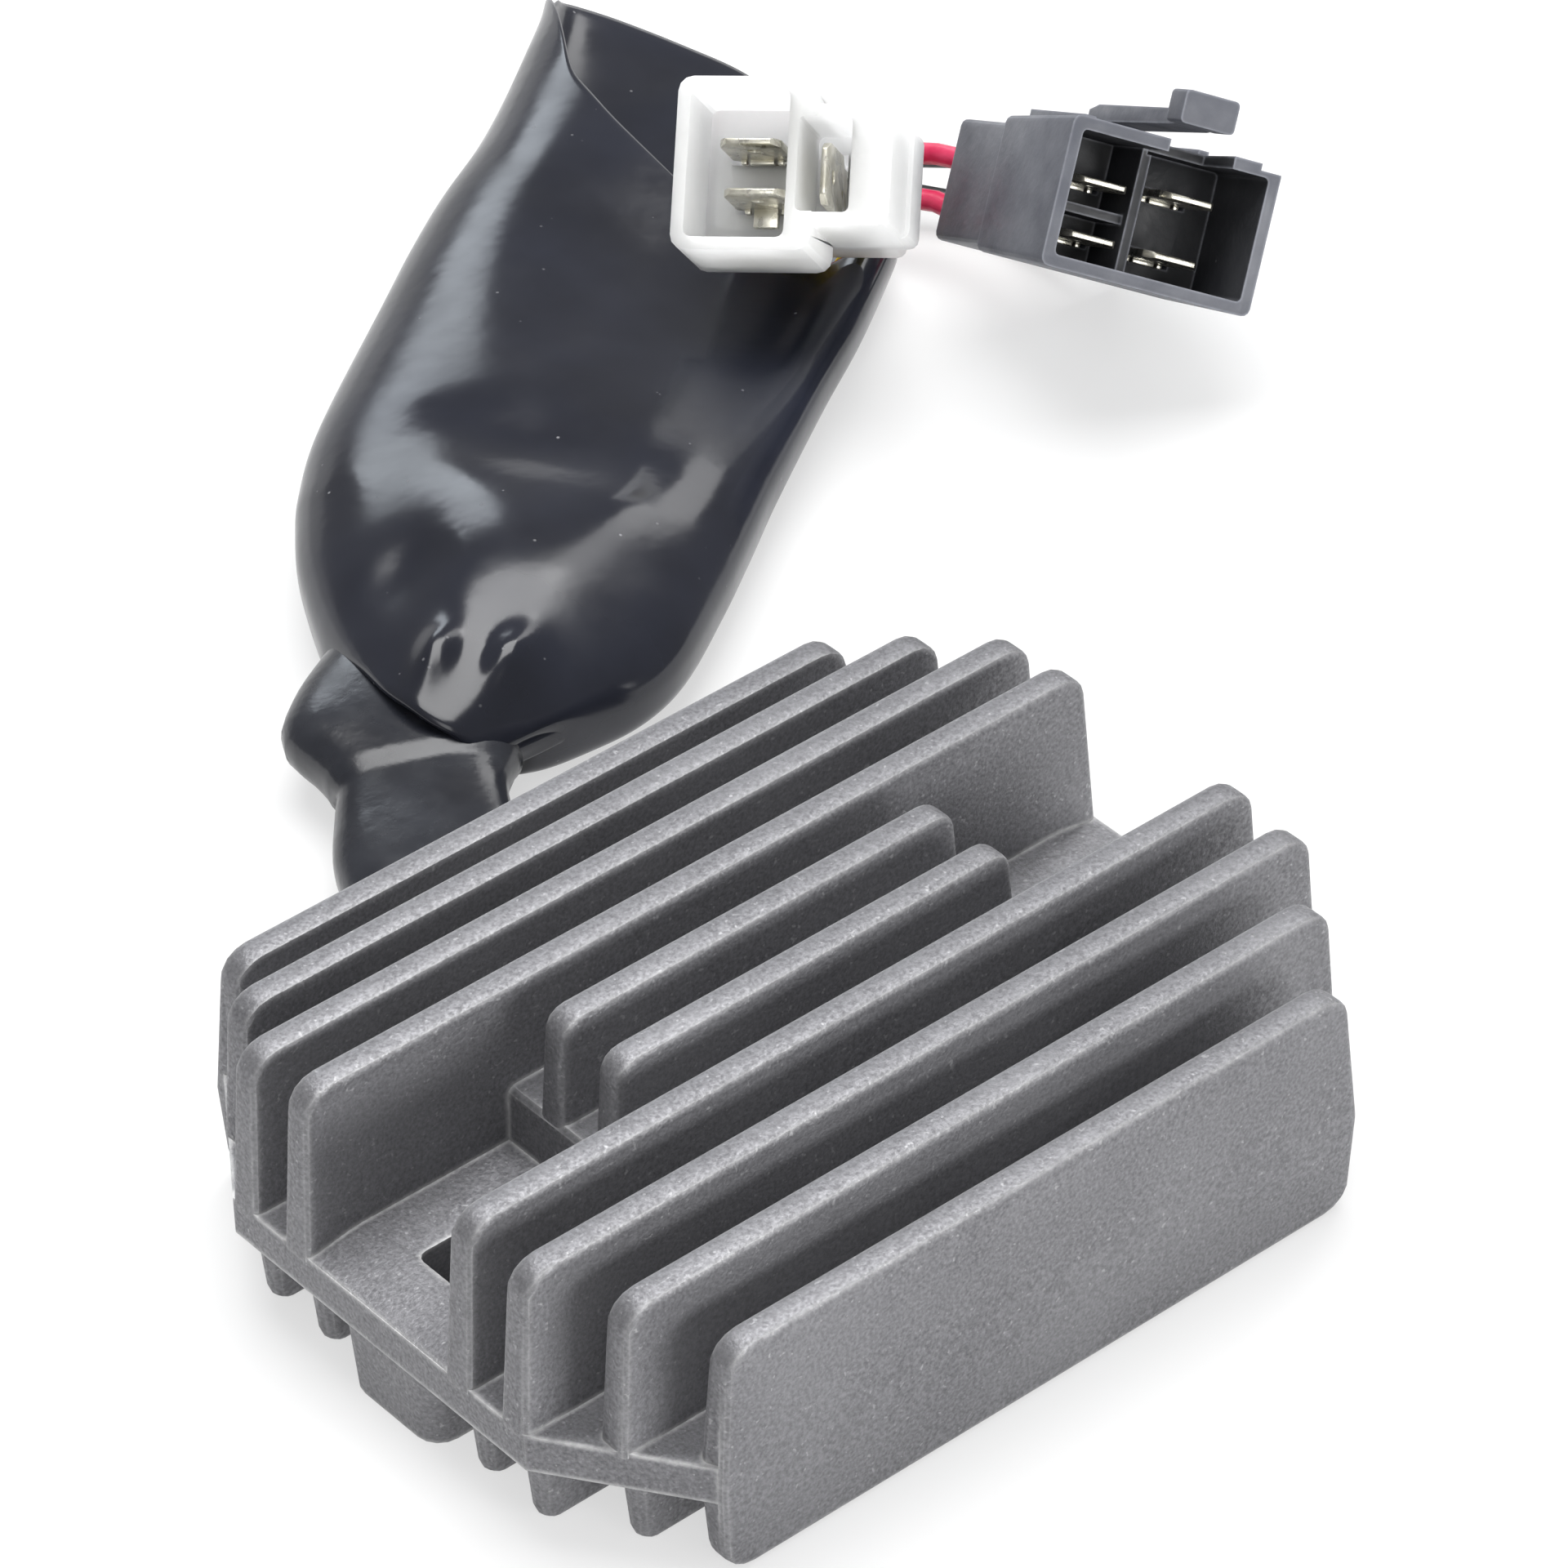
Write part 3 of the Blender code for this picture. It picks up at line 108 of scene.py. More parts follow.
def softbox(name, place, aim, wide, tall, power):
    """A soft lamp at its place, facing its aim: width and height in metres, power in watts."""
    lamp = bpy.data.lights.new(name, "AREA")
    lamp.shape = "RECTANGLE"
    lamp.size = wide
    lamp.size_y = tall
    lamp.energy = power
    holder = bpy.data.objects.new(name, lamp)
    holder.location = place
    holder.rotation_euler = (Vector(aim) - Vector(place)).to_track_quat("-Z", "Y").to_euler()
    bpy.context.scene.collection.objects.link(holder)
    return holder


far = softbox("lamp_far", (1.11, 2.48, 1.2), (0.06, 0.1, 0.0), 0.95, 0.6, 7.2)
far.data.color = (0.86, 0.93, 1.0)
softbox("lamp_top", (0.22, 0.32, 1.4), (0.02, 0.05, 0.0), 1.1, 1.1, 25.0)
softbox("lamp_right", (1.2, 0.5, 0.95), (0.06, 0.1, 0.0), 0.35, 1.1, 3.6)
softbox("lamp_fill", (-0.85, -0.7, 1.15), (0.05, 0.05, 0.0), 0.8, 0.8, 5.0)
softbox("lamp_front", (0.3, -1.6, 0.4), (0.0, -0.03, 0.015), 1.0, 0.4, 11.5)

# The heat sink is one aluminium die casting: fins over a thick plate, short fins under it.
# Its skin is left as cast and blasted, grey and finely grained, brighter on its edges, where they
# are rubbed and where a painted highlight stands for the light they catch.
def new_group(name, inputs, outputs):
    """An empty node group, with the nodes that stand for its inputs and outputs."""
    group = bpy.data.node_groups.new(name, "ShaderNodeTree")
    for label, kind, value in inputs:
        socket = group.interface.new_socket(name=label, in_out="INPUT", socket_type=kind)
        socket.default_value = value
    for label, kind in outputs:
        group.interface.new_socket(name=label, in_out="OUTPUT", socket_type=kind)
    return group, group.nodes.new("NodeGroupInput"), group.nodes.new("NodeGroupOutput")


def math_node(tree, operation, first, second):
    node = tree.nodes.new("ShaderNodeMath")
    node.operation = operation
    for socket, value in zip(node.inputs, (first, second)):
        if isinstance(value, bpy.types.NodeSocket):
            tree.links.new(value, socket)
        else:
            socket.default_value = value
    return node.outputs[0]


def spread(tree, value, low, high, to_low=0.0, to_high=1.0):
    """The value with the range from low to high stretched to another, and cut off at its ends."""
    node = tree.nodes.new("ShaderNodeMapRange")
    tree.links.new(value, node.inputs["Value"])
    labels = ("From Min", "From Max", "To Min", "To Max")
    for label, number in zip(labels, (low, high, to_low, to_high)):
        node.inputs[label].default_value = number
    return node.outputs["Result"]


def noise(tree, scale, detail, roughness=0.5, stretch=None):
    """Clouds in the object's own space, whose scale is a number or another node's output."""
    place = tree.nodes.new("ShaderNodeTexCoord").outputs["Object"]
    if stretch:
        mapping = tree.nodes.new("ShaderNodeMapping")
        mapping.inputs["Scale"].default_value = stretch
        tree.links.new(place, mapping.inputs["Vector"])
        place = mapping.outputs["Vector"]
    node = tree.nodes.new("ShaderNodeTexNoise")
    node.inputs["Detail"].default_value = detail
    node.inputs["Roughness"].default_value = roughness
    tree.links.new(place, node.inputs["Vector"])
    if isinstance(scale, bpy.types.NodeSocket):
        tree.links.new(scale, node.inputs["Scale"])
    else:
        node.inputs["Scale"].default_value = scale
    return node.outputs["Fac"]


def mixed(tree, share, first, second):
    """A colour between two others, by a share from 0 to 1."""
    node = tree.nodes.new("ShaderNodeMix")
    node.data_type = "RGBA"
    # The node has sockets for every kind of value: these are its factor and its two colours.
    sockets = (node.inputs[0], node.inputs[6], node.inputs[7])
    for socket, value in zip(sockets, (share, first, second)):
        if isinstance(value, bpy.types.NodeSocket):
            tree.links.new(value, socket)
        elif isinstance(value, tuple):
            socket.default_value = (*value, 1.0)
        else:
            socket.default_value = value
    return node.outputs[2]


# Worn edges with a painted highlight: 1 where the surface turns within the given radius, 0 on
# flats.
edge_wear_and_sheen, edge_wear_and_sheen_in, edge_wear_and_sheen_out = new_group(
    "edge_wear_and_painted_sheen",
    (("Radius", "NodeSocketFloat", 0.0008), ("Break", "NodeSocketFloat", 900.0)),
    (("Edge", "NodeSocketFloat"),),
)
turned = edge_wear_and_sheen.nodes.new("ShaderNodeBevel")
turned.samples = 6
edge_wear_and_sheen.links.new(edge_wear_and_sheen_in.outputs["Radius"], turned.inputs["Radius"])
flat = edge_wear_and_sheen.nodes.new("ShaderNodeNewGeometry")
same = edge_wear_and_sheen.nodes.new("ShaderNodeVectorMath")
same.operation = "DOT_PRODUCT"
edge_wear_and_sheen.links.new(turned.outputs["Normal"], same.inputs[0])
edge_wear_and_sheen.links.new(flat.outputs["Normal"], same.inputs[1])
edge = spread(edge_wear_and_sheen, same.outputs["Value"], 0.995, 0.86)
broken = spread(edge_wear_and_sheen, noise(edge_wear_and_sheen, edge_wear_and_sheen_in.outputs["Break"], 3.0), 0.25, 0.6, 0.45, 1.0)
edge_wear_and_sheen.links.new(math_node(edge_wear_and_sheen, "MULTIPLY", edge, broken), edge_wear_and_sheen_out.inputs["Edge"])

# Grain: the sandy skin of a blasted casting.
# It gives a fine height, a soft cloud and sparse bright specks.
grain, grain_in, grain_out = new_group(
    "cast_grain",
    (("Scale", "NodeSocketFloat", 2600.0),),
    (("Height", "NodeSocketFloat"), ("Cloud", "NodeSocketFloat"), ("Specks", "NodeSocketFloat")),
)
fine = noise(grain, grain_in.outputs["Scale"], 3.0, 0.6)
grain.links.new(fine, grain_out.inputs["Height"])
slow = math_node(grain, "MULTIPLY", grain_in.outputs["Scale"], 0.02)
grain.links.new(noise(grain, slow, 4.0, 0.6), grain_out.inputs["Cloud"])
middle = math_node(grain, "MULTIPLY", grain_in.outputs["Scale"], 0.62)
sparse = spread(grain, noise(grain, middle, 2.0, 0.5), 0.66, 0.74)
grain.links.new(sparse, grain_out.inputs["Specks"])


def use_group(tree, group, **values):
    """A node that runs the group with these inputs."""
    node = tree.nodes.new("ShaderNodeGroup")
    node.node_tree = group
    for label, value in values.items():
        node.inputs[label].default_value = value
    return node


def bump(tree, shader, height, strength, distance):
    node = tree.nodes.new("ShaderNodeBump")
    node.inputs["Strength"].default_value = strength
    node.inputs["Distance"].default_value = distance
    tree.links.new(height, node.inputs["Height"])
    tree.links.new(node.outputs["Normal"], shader.inputs["Normal"])


def new_material(name, roughness, metallic=0.0):
    made = bpy.data.materials.new(name)
    made.use_nodes = True
    shader = made.node_tree.nodes["Principled BSDF"]
    shader.inputs["Roughness"].default_value = roughness
    shader.inputs["Metallic"].default_value = metallic
    return made, made.node_tree, shader


def overlay(tree, share, amount, tone, colour):
    """The tone with the colour laid over it where the share is 1, as much as the amount says."""
    return mixed(tree, math_node(tree, "MULTIPLY", share, amount), tone, colour)


cast, cast_tree, cast_shader = new_material("cast_aluminium", 0.5, 0.55)
skin = use_group(cast_tree, grain, Scale=2600.0)
cast_edge_wear_and_sheen = use_group(cast_tree, edge_wear_and_sheen, Radius=0.001, Break=700.0)
height, clouds = skin.outputs["Height"], skin.outputs["Cloud"]
sandy = spread(cast_tree, height, 0.3, 0.7)
tone = mixed(cast_tree, sandy, (0.122, 0.121, 0.13), (0.24, 0.24, 0.253))
tone = mixed(cast_tree, spread(cast_tree, clouds, 0.35, 0.7, 0.0, 0.25), tone, (0.33, 0.33, 0.345))
tone = overlay(cast_tree, skin.outputs["Specks"], 0.35, tone, (0.62, 0.62, 0.63))
# The edges are painted lighter: partly rubbing, partly a painted highlight where they catch the
# light.
tone = overlay(cast_tree, cast_edge_wear_and_sheen.outputs["Edge"], 0.9, tone, (0.68, 0.68, 0.68))
cast_tree.links.new(tone, cast_shader.inputs["Base Color"])
matt = spread(cast_tree, height, 0.3, 0.7, 0.62, 0.42)
cast_tree.links.new(matt, cast_shader.inputs["Roughness"])
bump(cast_tree, cast_shader, height, 0.5, 0.00012)


def new_piece(name, mesh):
    """A new object with this mesh, the only one selected."""
    bpy.ops.object.select_all(action="DESELECT")
    piece = bpy.data.objects.new(name, mesh)
    bpy.context.scene.collection.objects.link(piece)
    bpy.context.view_layer.objects.active = piece
    piece.select_set(True)
    return piece


def rounded_copy(name, node, width, segments, made):
    """The node's solid with its triangles joined and its edges rounded."""
    piece = new_piece(name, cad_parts[node].data.copy())
    bpy.ops.object.mode_set(mode="EDIT")
    bpy.ops.mesh.select_all(action="SELECT")
    bpy.ops.mesh.remove_doubles(threshold=0.000002)
    bpy.ops.mesh.dissolve_limited(angle_limit=math.radians(1.0))
    bpy.ops.object.mode_set(mode="OBJECT")
    soften = piece.modifiers.new("soften", "BEVEL")
    soften.width = width
    soften.segments = segments
    soften.limit_method = "ANGLE"
    soften.angle_limit = math.radians(28.0)
    bpy.ops.object.modifier_apply(modifier="soften")
    bpy.ops.object.shade_smooth_by_angle(angle=math.radians(35.0))
    piece.data.materials.clear()
    piece.data.materials.append(made)
    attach(piece, "root")
    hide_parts(node)
    return piece


heat_sink = rounded_copy("heat_sink_casting", "heat_sink", 0.00035, 2, cast)

# The boot is a dip-moulded bag of soft black vinyl that slips over both connectors.
# It lies flat on its side, glossy, with the bundle's lump and two small bumps at its closed end.
def along_table(at, places, values):
    """A smooth curve through the values, read at one place."""
    at = min(max(at, places[0]), places[-1])
    step = max(count for count in range(len(places) - 1) if places[count] <= at)
    slopes = []
    for knot in (step, step + 1):
        low, high = max(knot - 1, 0), min(knot + 1, len(places) - 1)
        slopes.append((values[high] - values[low]) / (places[high] - places[low]))
    span = places[step + 1] - places[step]
    t = (at - places[step]) / span
    rise = (values[step + 1] - values[step]) * (3 * t * t - 2 * t ** 3)
    lean = slopes[0] * (t ** 3 - 2 * t * t + t) + slopes[1] * (t ** 3 - t * t)
    return values[step] + rise + span * lean


def ease(value, low, high):
    """0 below the low end, 1 above the high end, and a smooth step between them."""
    share = min(1.0, max(0.0, (value - low) / (high - low)))
    return share * share * (3.0 - 2.0 * share)


def hill(along, across, at, wide):
    """A round rise of height 1 about a place, as wide as given each way."""
    return math.exp(-((along - at[0]) / wide[0]) ** 2 - ((across - at[1]) / wide[1]) ** 2)


# Each rise of the upper wall: its place along and across (mm), its two widths, and its height.
boot_rises = (
    ((66.0, 45.5), (10.5, 9.5), 1.6),
    ((84.0, 50.5), (5.5, 10.0), -1.1),
    ((94.0, 45.0), (18.0, 9.0), -1.0),
    ((62.0, 54.5), (5.5, 4.2), -1.2),
    ((54.3, 48.4), (2.1, 1.8), 1.8),
    ((54.7, 41.1), (2.1, 2.0), 1.9),
    ((86.6, 59.4), (0.8, 3.2), -0.1),
    ((74.0, 37.5), (6.0, 4.0), 0.7),
)
boot_turn = Matrix.Rotation(math.radians(34.0), 3, "Z")

# The folds at the boot's right and left, as places along and across (mm).
# They are given at equal steps of the closed end, and then as the outline of the straight part.
end_steps = (0, 1, 2, 3, 4, 5)
end_right_along = (48.2, 49.4, 52.4, 56.8, 63.4, 76.0)
end_right_across = (38.6, 36.0, 32.8, 29.2, 27.0, 26.4)
end_left_along = (55.0, 56.6, 59.4, 63.2, 68.4, 76.0)
end_left_across = (60.8, 62.2, 64.0, 66.2, 68.8, 71.4)
straight_from, straight_right, straight_wide = 76.0, 26.4, 45.0
stations = (76.0, 84.0, 92.0, 110.0, 120.0, 130.0, 140.0, 150.0, 160.0, 168.0, 182.0)
right_outline = (26.4, 26.4, 26.5, 26.1, 25.6, 25.6, 25.9, 26.2, 26.6, 26.8, 27.0)
left_outline = (71.4, 72.9, 73.5, 73.8, 74.0, 73.8, 72.9, 72.9, 73.4, 74.0, 77.0)

# The cut of the mouth: how far along it lies at shares of the width, in the upper and lower wall.
upper_shares = (0.0, 0.05, 0.14, 0.30, 0.52, 0.69, 0.80, 0.84, 0.91, 1.0)
upper_mouth = (136.0, 131.0, 128.0, 129.8, 137.3, 143.5, 149.0, 151.5, 160.4, 171.5)
lower_shares = (0.0, 0.05, 0.14, 0.30, 0.52, 0.69, 0.84, 0.93, 0.975, 1.0)
lower_mouth = (136.0, 141.0, 147.0, 162.0, 172.5, 176.3, 178.0, 177.5, 175.5, 171.5)

# The curled lip of the closed end: how far it reaches back at shares of the width.
# With it is how much it drops for each millimetre of that.
lip_shares = (0.0, 0.08, 0.2, 0.4, 0.6, 0.8, 0.92, 1.0)
lip_reach = (0.0, 4.0, 6.6, 7.6, 6.2, 3.0, 1.2, 0.0)
drop_shares = (0.0, 0.12, 0.3, 1.0)
lip_drop = (0.5, 0.36, 0.06, 0.06)

# Steps of the closed end, steps of the straight part, and points round each ring.
end_rings, straight_rings, ring_points = 16, 44, 84


def boot_rings():
    """Each ring's two folds, share of the way to the mouth, heights, and closeness to the lip."""
    rings = []
    for count in range(end_rings + 1):
        at = count * 5 / end_rings
        right = (along_table(at, end_steps, end_right_along),
                 along_table(at, end_steps, end_right_across))
        left = (along_table(at, end_steps, end_left_along),
                along_table(at, end_steps, end_left_across))
        grown = math.sin(math.pi / 2 * (at / 5) ** 1.15)
        heights = (6.2 + 1.4 * grown, 12.0 + 4.0 * grown, 0.1 - 0.05 * grown)
        rings.append((right, left, 0.0, heights, 1.0 - at / 5))
    right = (straight_from, straight_right)
    left = (straight_from, straight_right + straight_wide)
    for count in range(1, straight_rings + 1):
        rings.append((right, left, count / straight_rings, (7.6, 16.0, 0.05), 0.0))
    return rings


def boot_wall(less):
    """The boot's rings of points, this far inside its skin (mm)."""
    walls = []
    for right, left, out, (fold, crown, base), end in boot_rings():
        ring = []
        reach = math.hypot(left[0] - right[0], left[1] - right[1]) / 2
        for step in range(ring_points):
            angle = 2 * math.pi * step / ring_points
            share = 0.5 - 0.5 * math.cos(angle) * (1 - less / reach)
            rise = abs(math.sin(angle))
            upper = step <= ring_points // 2
            if upper:
                up = fold + (crown - less - fold) * rise ** 0.95
            else:
                up = fold - (fold - base - less) * rise ** 0.62
            along = right[0] + (left[0] - right[0]) * share
            across = right[1] + (left[1] - right[1]) * share
            if out:
                shares = upper_shares if upper else lower_shares
                mouth = upper_mouth if upper else lower_mouth
                along += (along_table(share, shares, mouth) - right[0]) * out
                near = along_table(along, stations, right_outline)
                far = along_table(along, stations, left_outline)
                across = near + (far - near) * (across - straight_right) / straight_wide
            if upper:
                # Beside the white connector the wall sinks by 6.5 of the 8.4 mm from crown to fold.
                press = ease(along, 86.0, 127.0) * (1.0 - ease(across, 36.0, 72.0))
                press *= ease(across, 25.5, 33.0)
                up = fold + (up - fold) * (1.0 - press * 6.5 / 8.4)
                # The rises fade out near the folds.
                lift = sum(high * hill(along, across, at, wide) for at, wide, high in boot_rises)
                up += lift * min(1.0, max(0.0, (up - 6.0) / 5.0))
                lip = end ** 1.6 * along_table(share, lip_shares, lip_reach)
                along -= lip
                up -= lip * along_table(share, drop_shares, lip_drop)
            point = boot_turn @ Vector((along, across, up))
            ring.append(tuple(value / 1000 for value in point))
        walls.append(ring)
    return walls


def tube_piece(name, outer, inner, made):
    """A thin-walled sleeve between two sets of rings, closed round both of its ends."""
    count = len(outer[0])
    rings = outer + inner[::-1]
    points = [point for ring in rings for point in ring]
    faces = []
    for row in range(len(rings)):
        after_row = (row + 1) % len(rings)
        for at in range(count):
            after = (at + 1) % count
            low, high = row * count, after_row * count
            faces.append((low + at, high + at, high + after, low + after))
    mesh = bpy.data.meshes.new(name)
    mesh.from_pydata(points, [], faces)
    mesh.materials.append(made)
    piece = new_piece(name, mesh)
    bpy.ops.object.mode_set(mode="EDIT")
    bpy.ops.mesh.select_all(action="SELECT")
    bpy.ops.mesh.normals_make_consistent(inside=False)
    bpy.ops.object.mode_set(mode="OBJECT")
    bpy.ops.object.shade_smooth()
    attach(piece, "root")
    return piece


def mottled(tree, scale, dark, light, start=0.35, detail=4.0):
    """A tone that drifts between two colours in soft clouds."""
    return mixed(tree, spread(tree, noise(tree, scale, detail), start, 0.7), dark, light)


vinyl, vinyl_tree, vinyl_shader = new_material("boot_vinyl", 0.1)
shade = mottled(vinyl_tree, 60.0, (0.009, 0.010, 0.016), (0.015, 0.017, 0.027))

# Dust: sparse pale specks that lie in patches.
dust, dust_in, dust_out = new_group(
    "dust",
    (("Scale", "NodeSocketFloat", 500.0), ("Amount", "NodeSocketFloat", 0.5)),
    (("Specks", "NodeSocketFloat"),),
)
cells = dust.nodes.new("ShaderNodeTexVoronoi")
dust.links.new(dust.nodes.new("ShaderNodeTexCoord").outputs["Object"], cells.inputs["Vector"])
dust.links.new(dust_in.outputs["Scale"], cells.inputs["Scale"])
near = spread(dust, cells.outputs["Distance"], 0.13, 0.05)
apart = dust.nodes.new("ShaderNodeSeparateColor")
dust.links.new(cells.outputs["Color"], apart.inputs["Color"])
chosen = spread(dust, apart.outputs["Red"], 0.86, 0.88)
patches = spread(dust, noise(dust, 70.0, 2.0), 0.42, 0.62)
specks = math_node(dust, "MULTIPLY", math_node(dust, "MULTIPLY", near, chosen), patches)
specks = math_node(dust, "MULTIPLY", specks, dust_in.outputs["Amount"])
dust.links.new(specks, dust_out.inputs["Specks"])

settled = use_group(vinyl_tree, dust, Scale=620.0, Amount=0.5)
shade = mixed(vinyl_tree, settled.outputs["Specks"], shade, (0.5, 0.5, 0.52))
vinyl_tree.links.new(shade, vinyl_shader.inputs["Base Color"])
smear = spread(vinyl_tree, noise(vinyl_tree, 90.0, 5.0), 0.35, 0.75, 0.13, 0.27)
smear = math_node(vinyl_tree, "ADD", smear, settled.outputs["Specks"])
vinyl_tree.links.new(smear, vinyl_shader.inputs["Roughness"])
bump(vinyl_tree, vinyl_shader, noise(vinyl_tree, 140.0, 3.0), 0.12, 0.0006)

boot = tube_piece("connector_boot_bag", boot_wall(0.0), boot_wall(1.0), vinyl)
soft_rim = boot.modifiers.new("soft_rim", "SUBSURF")
soft_rim.levels = soft_rim.render_levels = 1
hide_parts("connector_boot")

# The sleeve is the flat vinyl tube round the seven wires, from the casting up into the boot.
# It is folded wide just under the boot and drawn in again where it meets the casting.

# Its middle line, at shares of its length (mm).
sleeve_shares = (0.0, 0.1, 0.26, 0.45, 0.66, 0.82, 1.0)
sleeve_marks = ((-3.0, 38.0, 5.2), (-2.4, 43.0, 5.3), (0.8, 50.5, 5.5), (5.2, 58.6, 5.9),
                (9.95, 67.51, 6.4), (16.36, 72.31, 6.5), (23.93, 77.18, 6.6))

# Its half width to the right and to the left, and its half height, at shares of its length (mm).
right_shares = (0.0, 0.3, 0.46, 0.54, 0.8, 1.0)
right_half = (8.6, 8.4, 8.2, 10.2, 10.4, 8.6)
left_shares = (0.0, 0.29, 0.45, 0.54, 0.60, 0.655, 0.70, 0.88, 1.0)
left_half = (8.4, 9.8, 8.6, 7.8, 8.9, 11.3, 11.2, 10.2, 8.8)
tall_shares = (0.0, 0.25, 0.42, 0.7, 1.0)
tall_half = (4.2, 4.1, 3.8, 3.7, 3.4)
sleeve_rings, sleeve_points = 48, 48


def sleeve_middle(share):
    """A point of the middle line, at a share of its length."""
    return Vector([along_table(share, sleeve_shares, line) for line in zip(*sleeve_marks)])


def sleeve_wall(less):
    """The sleeve's rings of points, this far inside its skin (mm)."""
    rings = []
    for count in range(sleeve_rings + 1):
        share = count / sleeve_rings
        middle = sleeve_middle(share)
        heading = sleeve_middle(min(1.0, share + 0.02)) - sleeve_middle(max(0.0, share - 0.02))
        side = Vector((heading.y, -heading.x, 0.0)).normalized()
        # The wide fold begins with a small step out, a little past the middle.
        collar = 0.45 if share > 0.53 else 0.0
        right = along_table(share, right_shares, right_half) - less + collar
        left = along_table(share, left_shares, left_half) - less + collar
        tall = along_table(share, tall_shares, tall_half) - less + collar
        ring = []
        for step in range(sleeve_points):
            angle = 2 * math.pi * step / sleeve_points
            wide = right if math.cos(angle) > 0 else left
            flat = math.copysign(abs(math.cos(angle)) ** 0.8, math.cos(angle))
            crease = 0.15 * math.sin(9.0 * share + 2.0 * math.cos(angle))
            up = (tall + crease) * math.copysign(abs(math.sin(angle)) ** 0.75, math.sin(angle))
            point = middle + side * wide * flat + Vector((0.0, 0.0, up))
            # It lies on the ground, so its underside stays just above that.
            ring.append((point.x / 1000, point.y / 1000, max(point.z, 0.15 + less) / 1000))
        rings.append(ring)
    return rings


def uneven_gloss(tree, shader, cloud, glossy, matt):
    """Links a roughness that drifts between two values as the cloud does."""
    tree.links.new(spread(tree, cloud, 0.3, 0.7, glossy, matt), shader.inputs["Roughness"])


sleeve_vinyl, sleeve_tree, sleeve_shader = new_material("sleeve_vinyl", 0.3)
shade = mottled(sleeve_tree, 120.0, (0.011, 0.012, 0.017), (0.024, 0.026, 0.033))
sleeve_tree.links.new(shade, sleeve_shader.inputs["Base Color"])
uneven_gloss(sleeve_tree, sleeve_shader, noise(sleeve_tree, 200.0, 4.0), 0.16, 0.3)
bump(sleeve_tree, sleeve_shader, noise(sleeve_tree, 500.0, 3.0), 0.2, 0.0003)
sleeve = tube_piece("harness_sleeve_tube", sleeve_wall(0.0), sleeve_wall(0.8), sleeve_vinyl)
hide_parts("harness_sleeve")

# The white connector is moulded in natural nylon, thin-walled and milky, and stands on its wires.
# It has a wide socket with two flat blades and a narrow one with an upright blade.
nylon, nylon_tree, nylon_shader = new_material("natural_nylon", 0.34)
nylon_tone = mottled(nylon_tree, 180.0, (0.85, 0.862, 0.856), (0.905, 0.912, 0.908), 0.3)
# Its edges are painted paler: partly rubbing, partly a painted highlight.
nylon_edge_wear_and_sheen = use_group(nylon_tree, edge_wear_and_sheen, Radius=0.0005, Break=900.0)
nylon_tone = overlay(nylon_tree, nylon_edge_wear_and_sheen.outputs["Edge"], 0.5, nylon_tone, (0.93, 0.93, 0.93))
nylon_tree.links.new(nylon_tone, nylon_shader.inputs["Base Color"])
uneven_gloss(nylon_tree, nylon_shader, noise(nylon_tree, 700.0, 3.0), 0.28, 0.42)
nylon_shader.inputs["Subsurface Weight"].default_value = 1.0
nylon_shader.inputs["Subsurface Radius"].default_value = (0.02, 0.02, 0.0205)
nylon_shader.inputs["Subsurface Scale"].default_value = 1.0
bump(nylon_tree, nylon_shader, noise(nylon_tree, 900.0, 3.0), 0.12, 0.0002)
white_housing = rounded_copy("white_connector_body", "white_connector_housing", 0.00045, 3, nylon)
# Where it stands: the directions of its own three axes, and its place in metres.
white_place = Matrix((
    (0.62208, 0.52314, -0.58253, 0.0752),
    (-0.77658, 0.50701, -0.37399, 0.094),
    (0.0997, 0.68503, 0.72166, 0.0299),
    (0.0, 0.0, 0.0, 1.0),
))

# The black connector is moulded in black nylon: a four-way socket with a spring latch on top.
# Its edges are worn grey and painted with a pale bluish highlight, dust has settled on its walls,
# and it stands on its wires.
dark, dark_tree, dark_shader = new_material("black_nylon", 0.4)
dark_tone = mottled(dark_tree, 150.0, (0.095, 0.1, 0.12), (0.165, 0.172, 0.195))
dark_tone.node.name = "tone"
# Grey bluish edges: partly wear, partly a painted highlight.
dark_edge_wear_and_sheen = use_group(dark_tree, edge_wear_and_sheen, Radius=0.0005, Break=700.0)
dark_tone = overlay(dark_tree, dark_edge_wear_and_sheen.outputs["Edge"], 0.9, dark_tone, (0.3, 0.31, 0.35))
dark_dust = use_group(dark_tree, dust, Scale=700.0, Amount=0.4)
dark_tone = mixed(dark_tree, dark_dust.outputs["Specks"], dark_tone, (0.4, 0.4, 0.42))
dark_tree.links.new(dark_tone, dark_shader.inputs["Base Color"])
uneven_gloss(dark_tree, dark_shader, noise(dark_tree, 400.0, 4.0), 0.42, 0.6)
bump(dark_tree, dark_shader, noise(dark_tree, 1400.0, 3.0), 0.25, 0.0002)
black_housing = rounded_copy("black_connector_body", "black_connector_housing", 0.0003, 2, dark)
# Where it stands, told in the same way.
black_place = Matrix((
    (0.80331, 0.56782, -0.17965, 0.10714),
    (-0.39971, 0.29041, -0.86942, 0.0671),
    (-0.44151, 0.77022, 0.46025, 0.02252),
    (0.0, 0.0, 0.0, 1.0),
))

# Light barely reaches the inside of the socket, so the nylon there is a darker copy.
# Its faces lie within these half sizes, between its floor and its rim (mm).
socket_wide, socket_high, socket_floor, socket_rim = 11.4, 7.0, -11.5, -0.25
shaded = dark.copy()
shaded.name = "black_nylon_inside"
for socket in shaded.node_tree.nodes["tone"].inputs:
    if socket.type == "RGBA":
        socket.default_value = [value * 0.2 for value in socket.default_value[:3]] + [1.0]
black_housing.data.materials.append(shaded)
back_to_local = black_place.inverted()
for face in black_housing.data.polygons:
    spot = back_to_local @ face.center * 1000
    within = abs(spot.x) < socket_wide and abs(spot.y) < socket_high
    if within and socket_floor < spot.z < socket_rim:
        face.material_index = 1

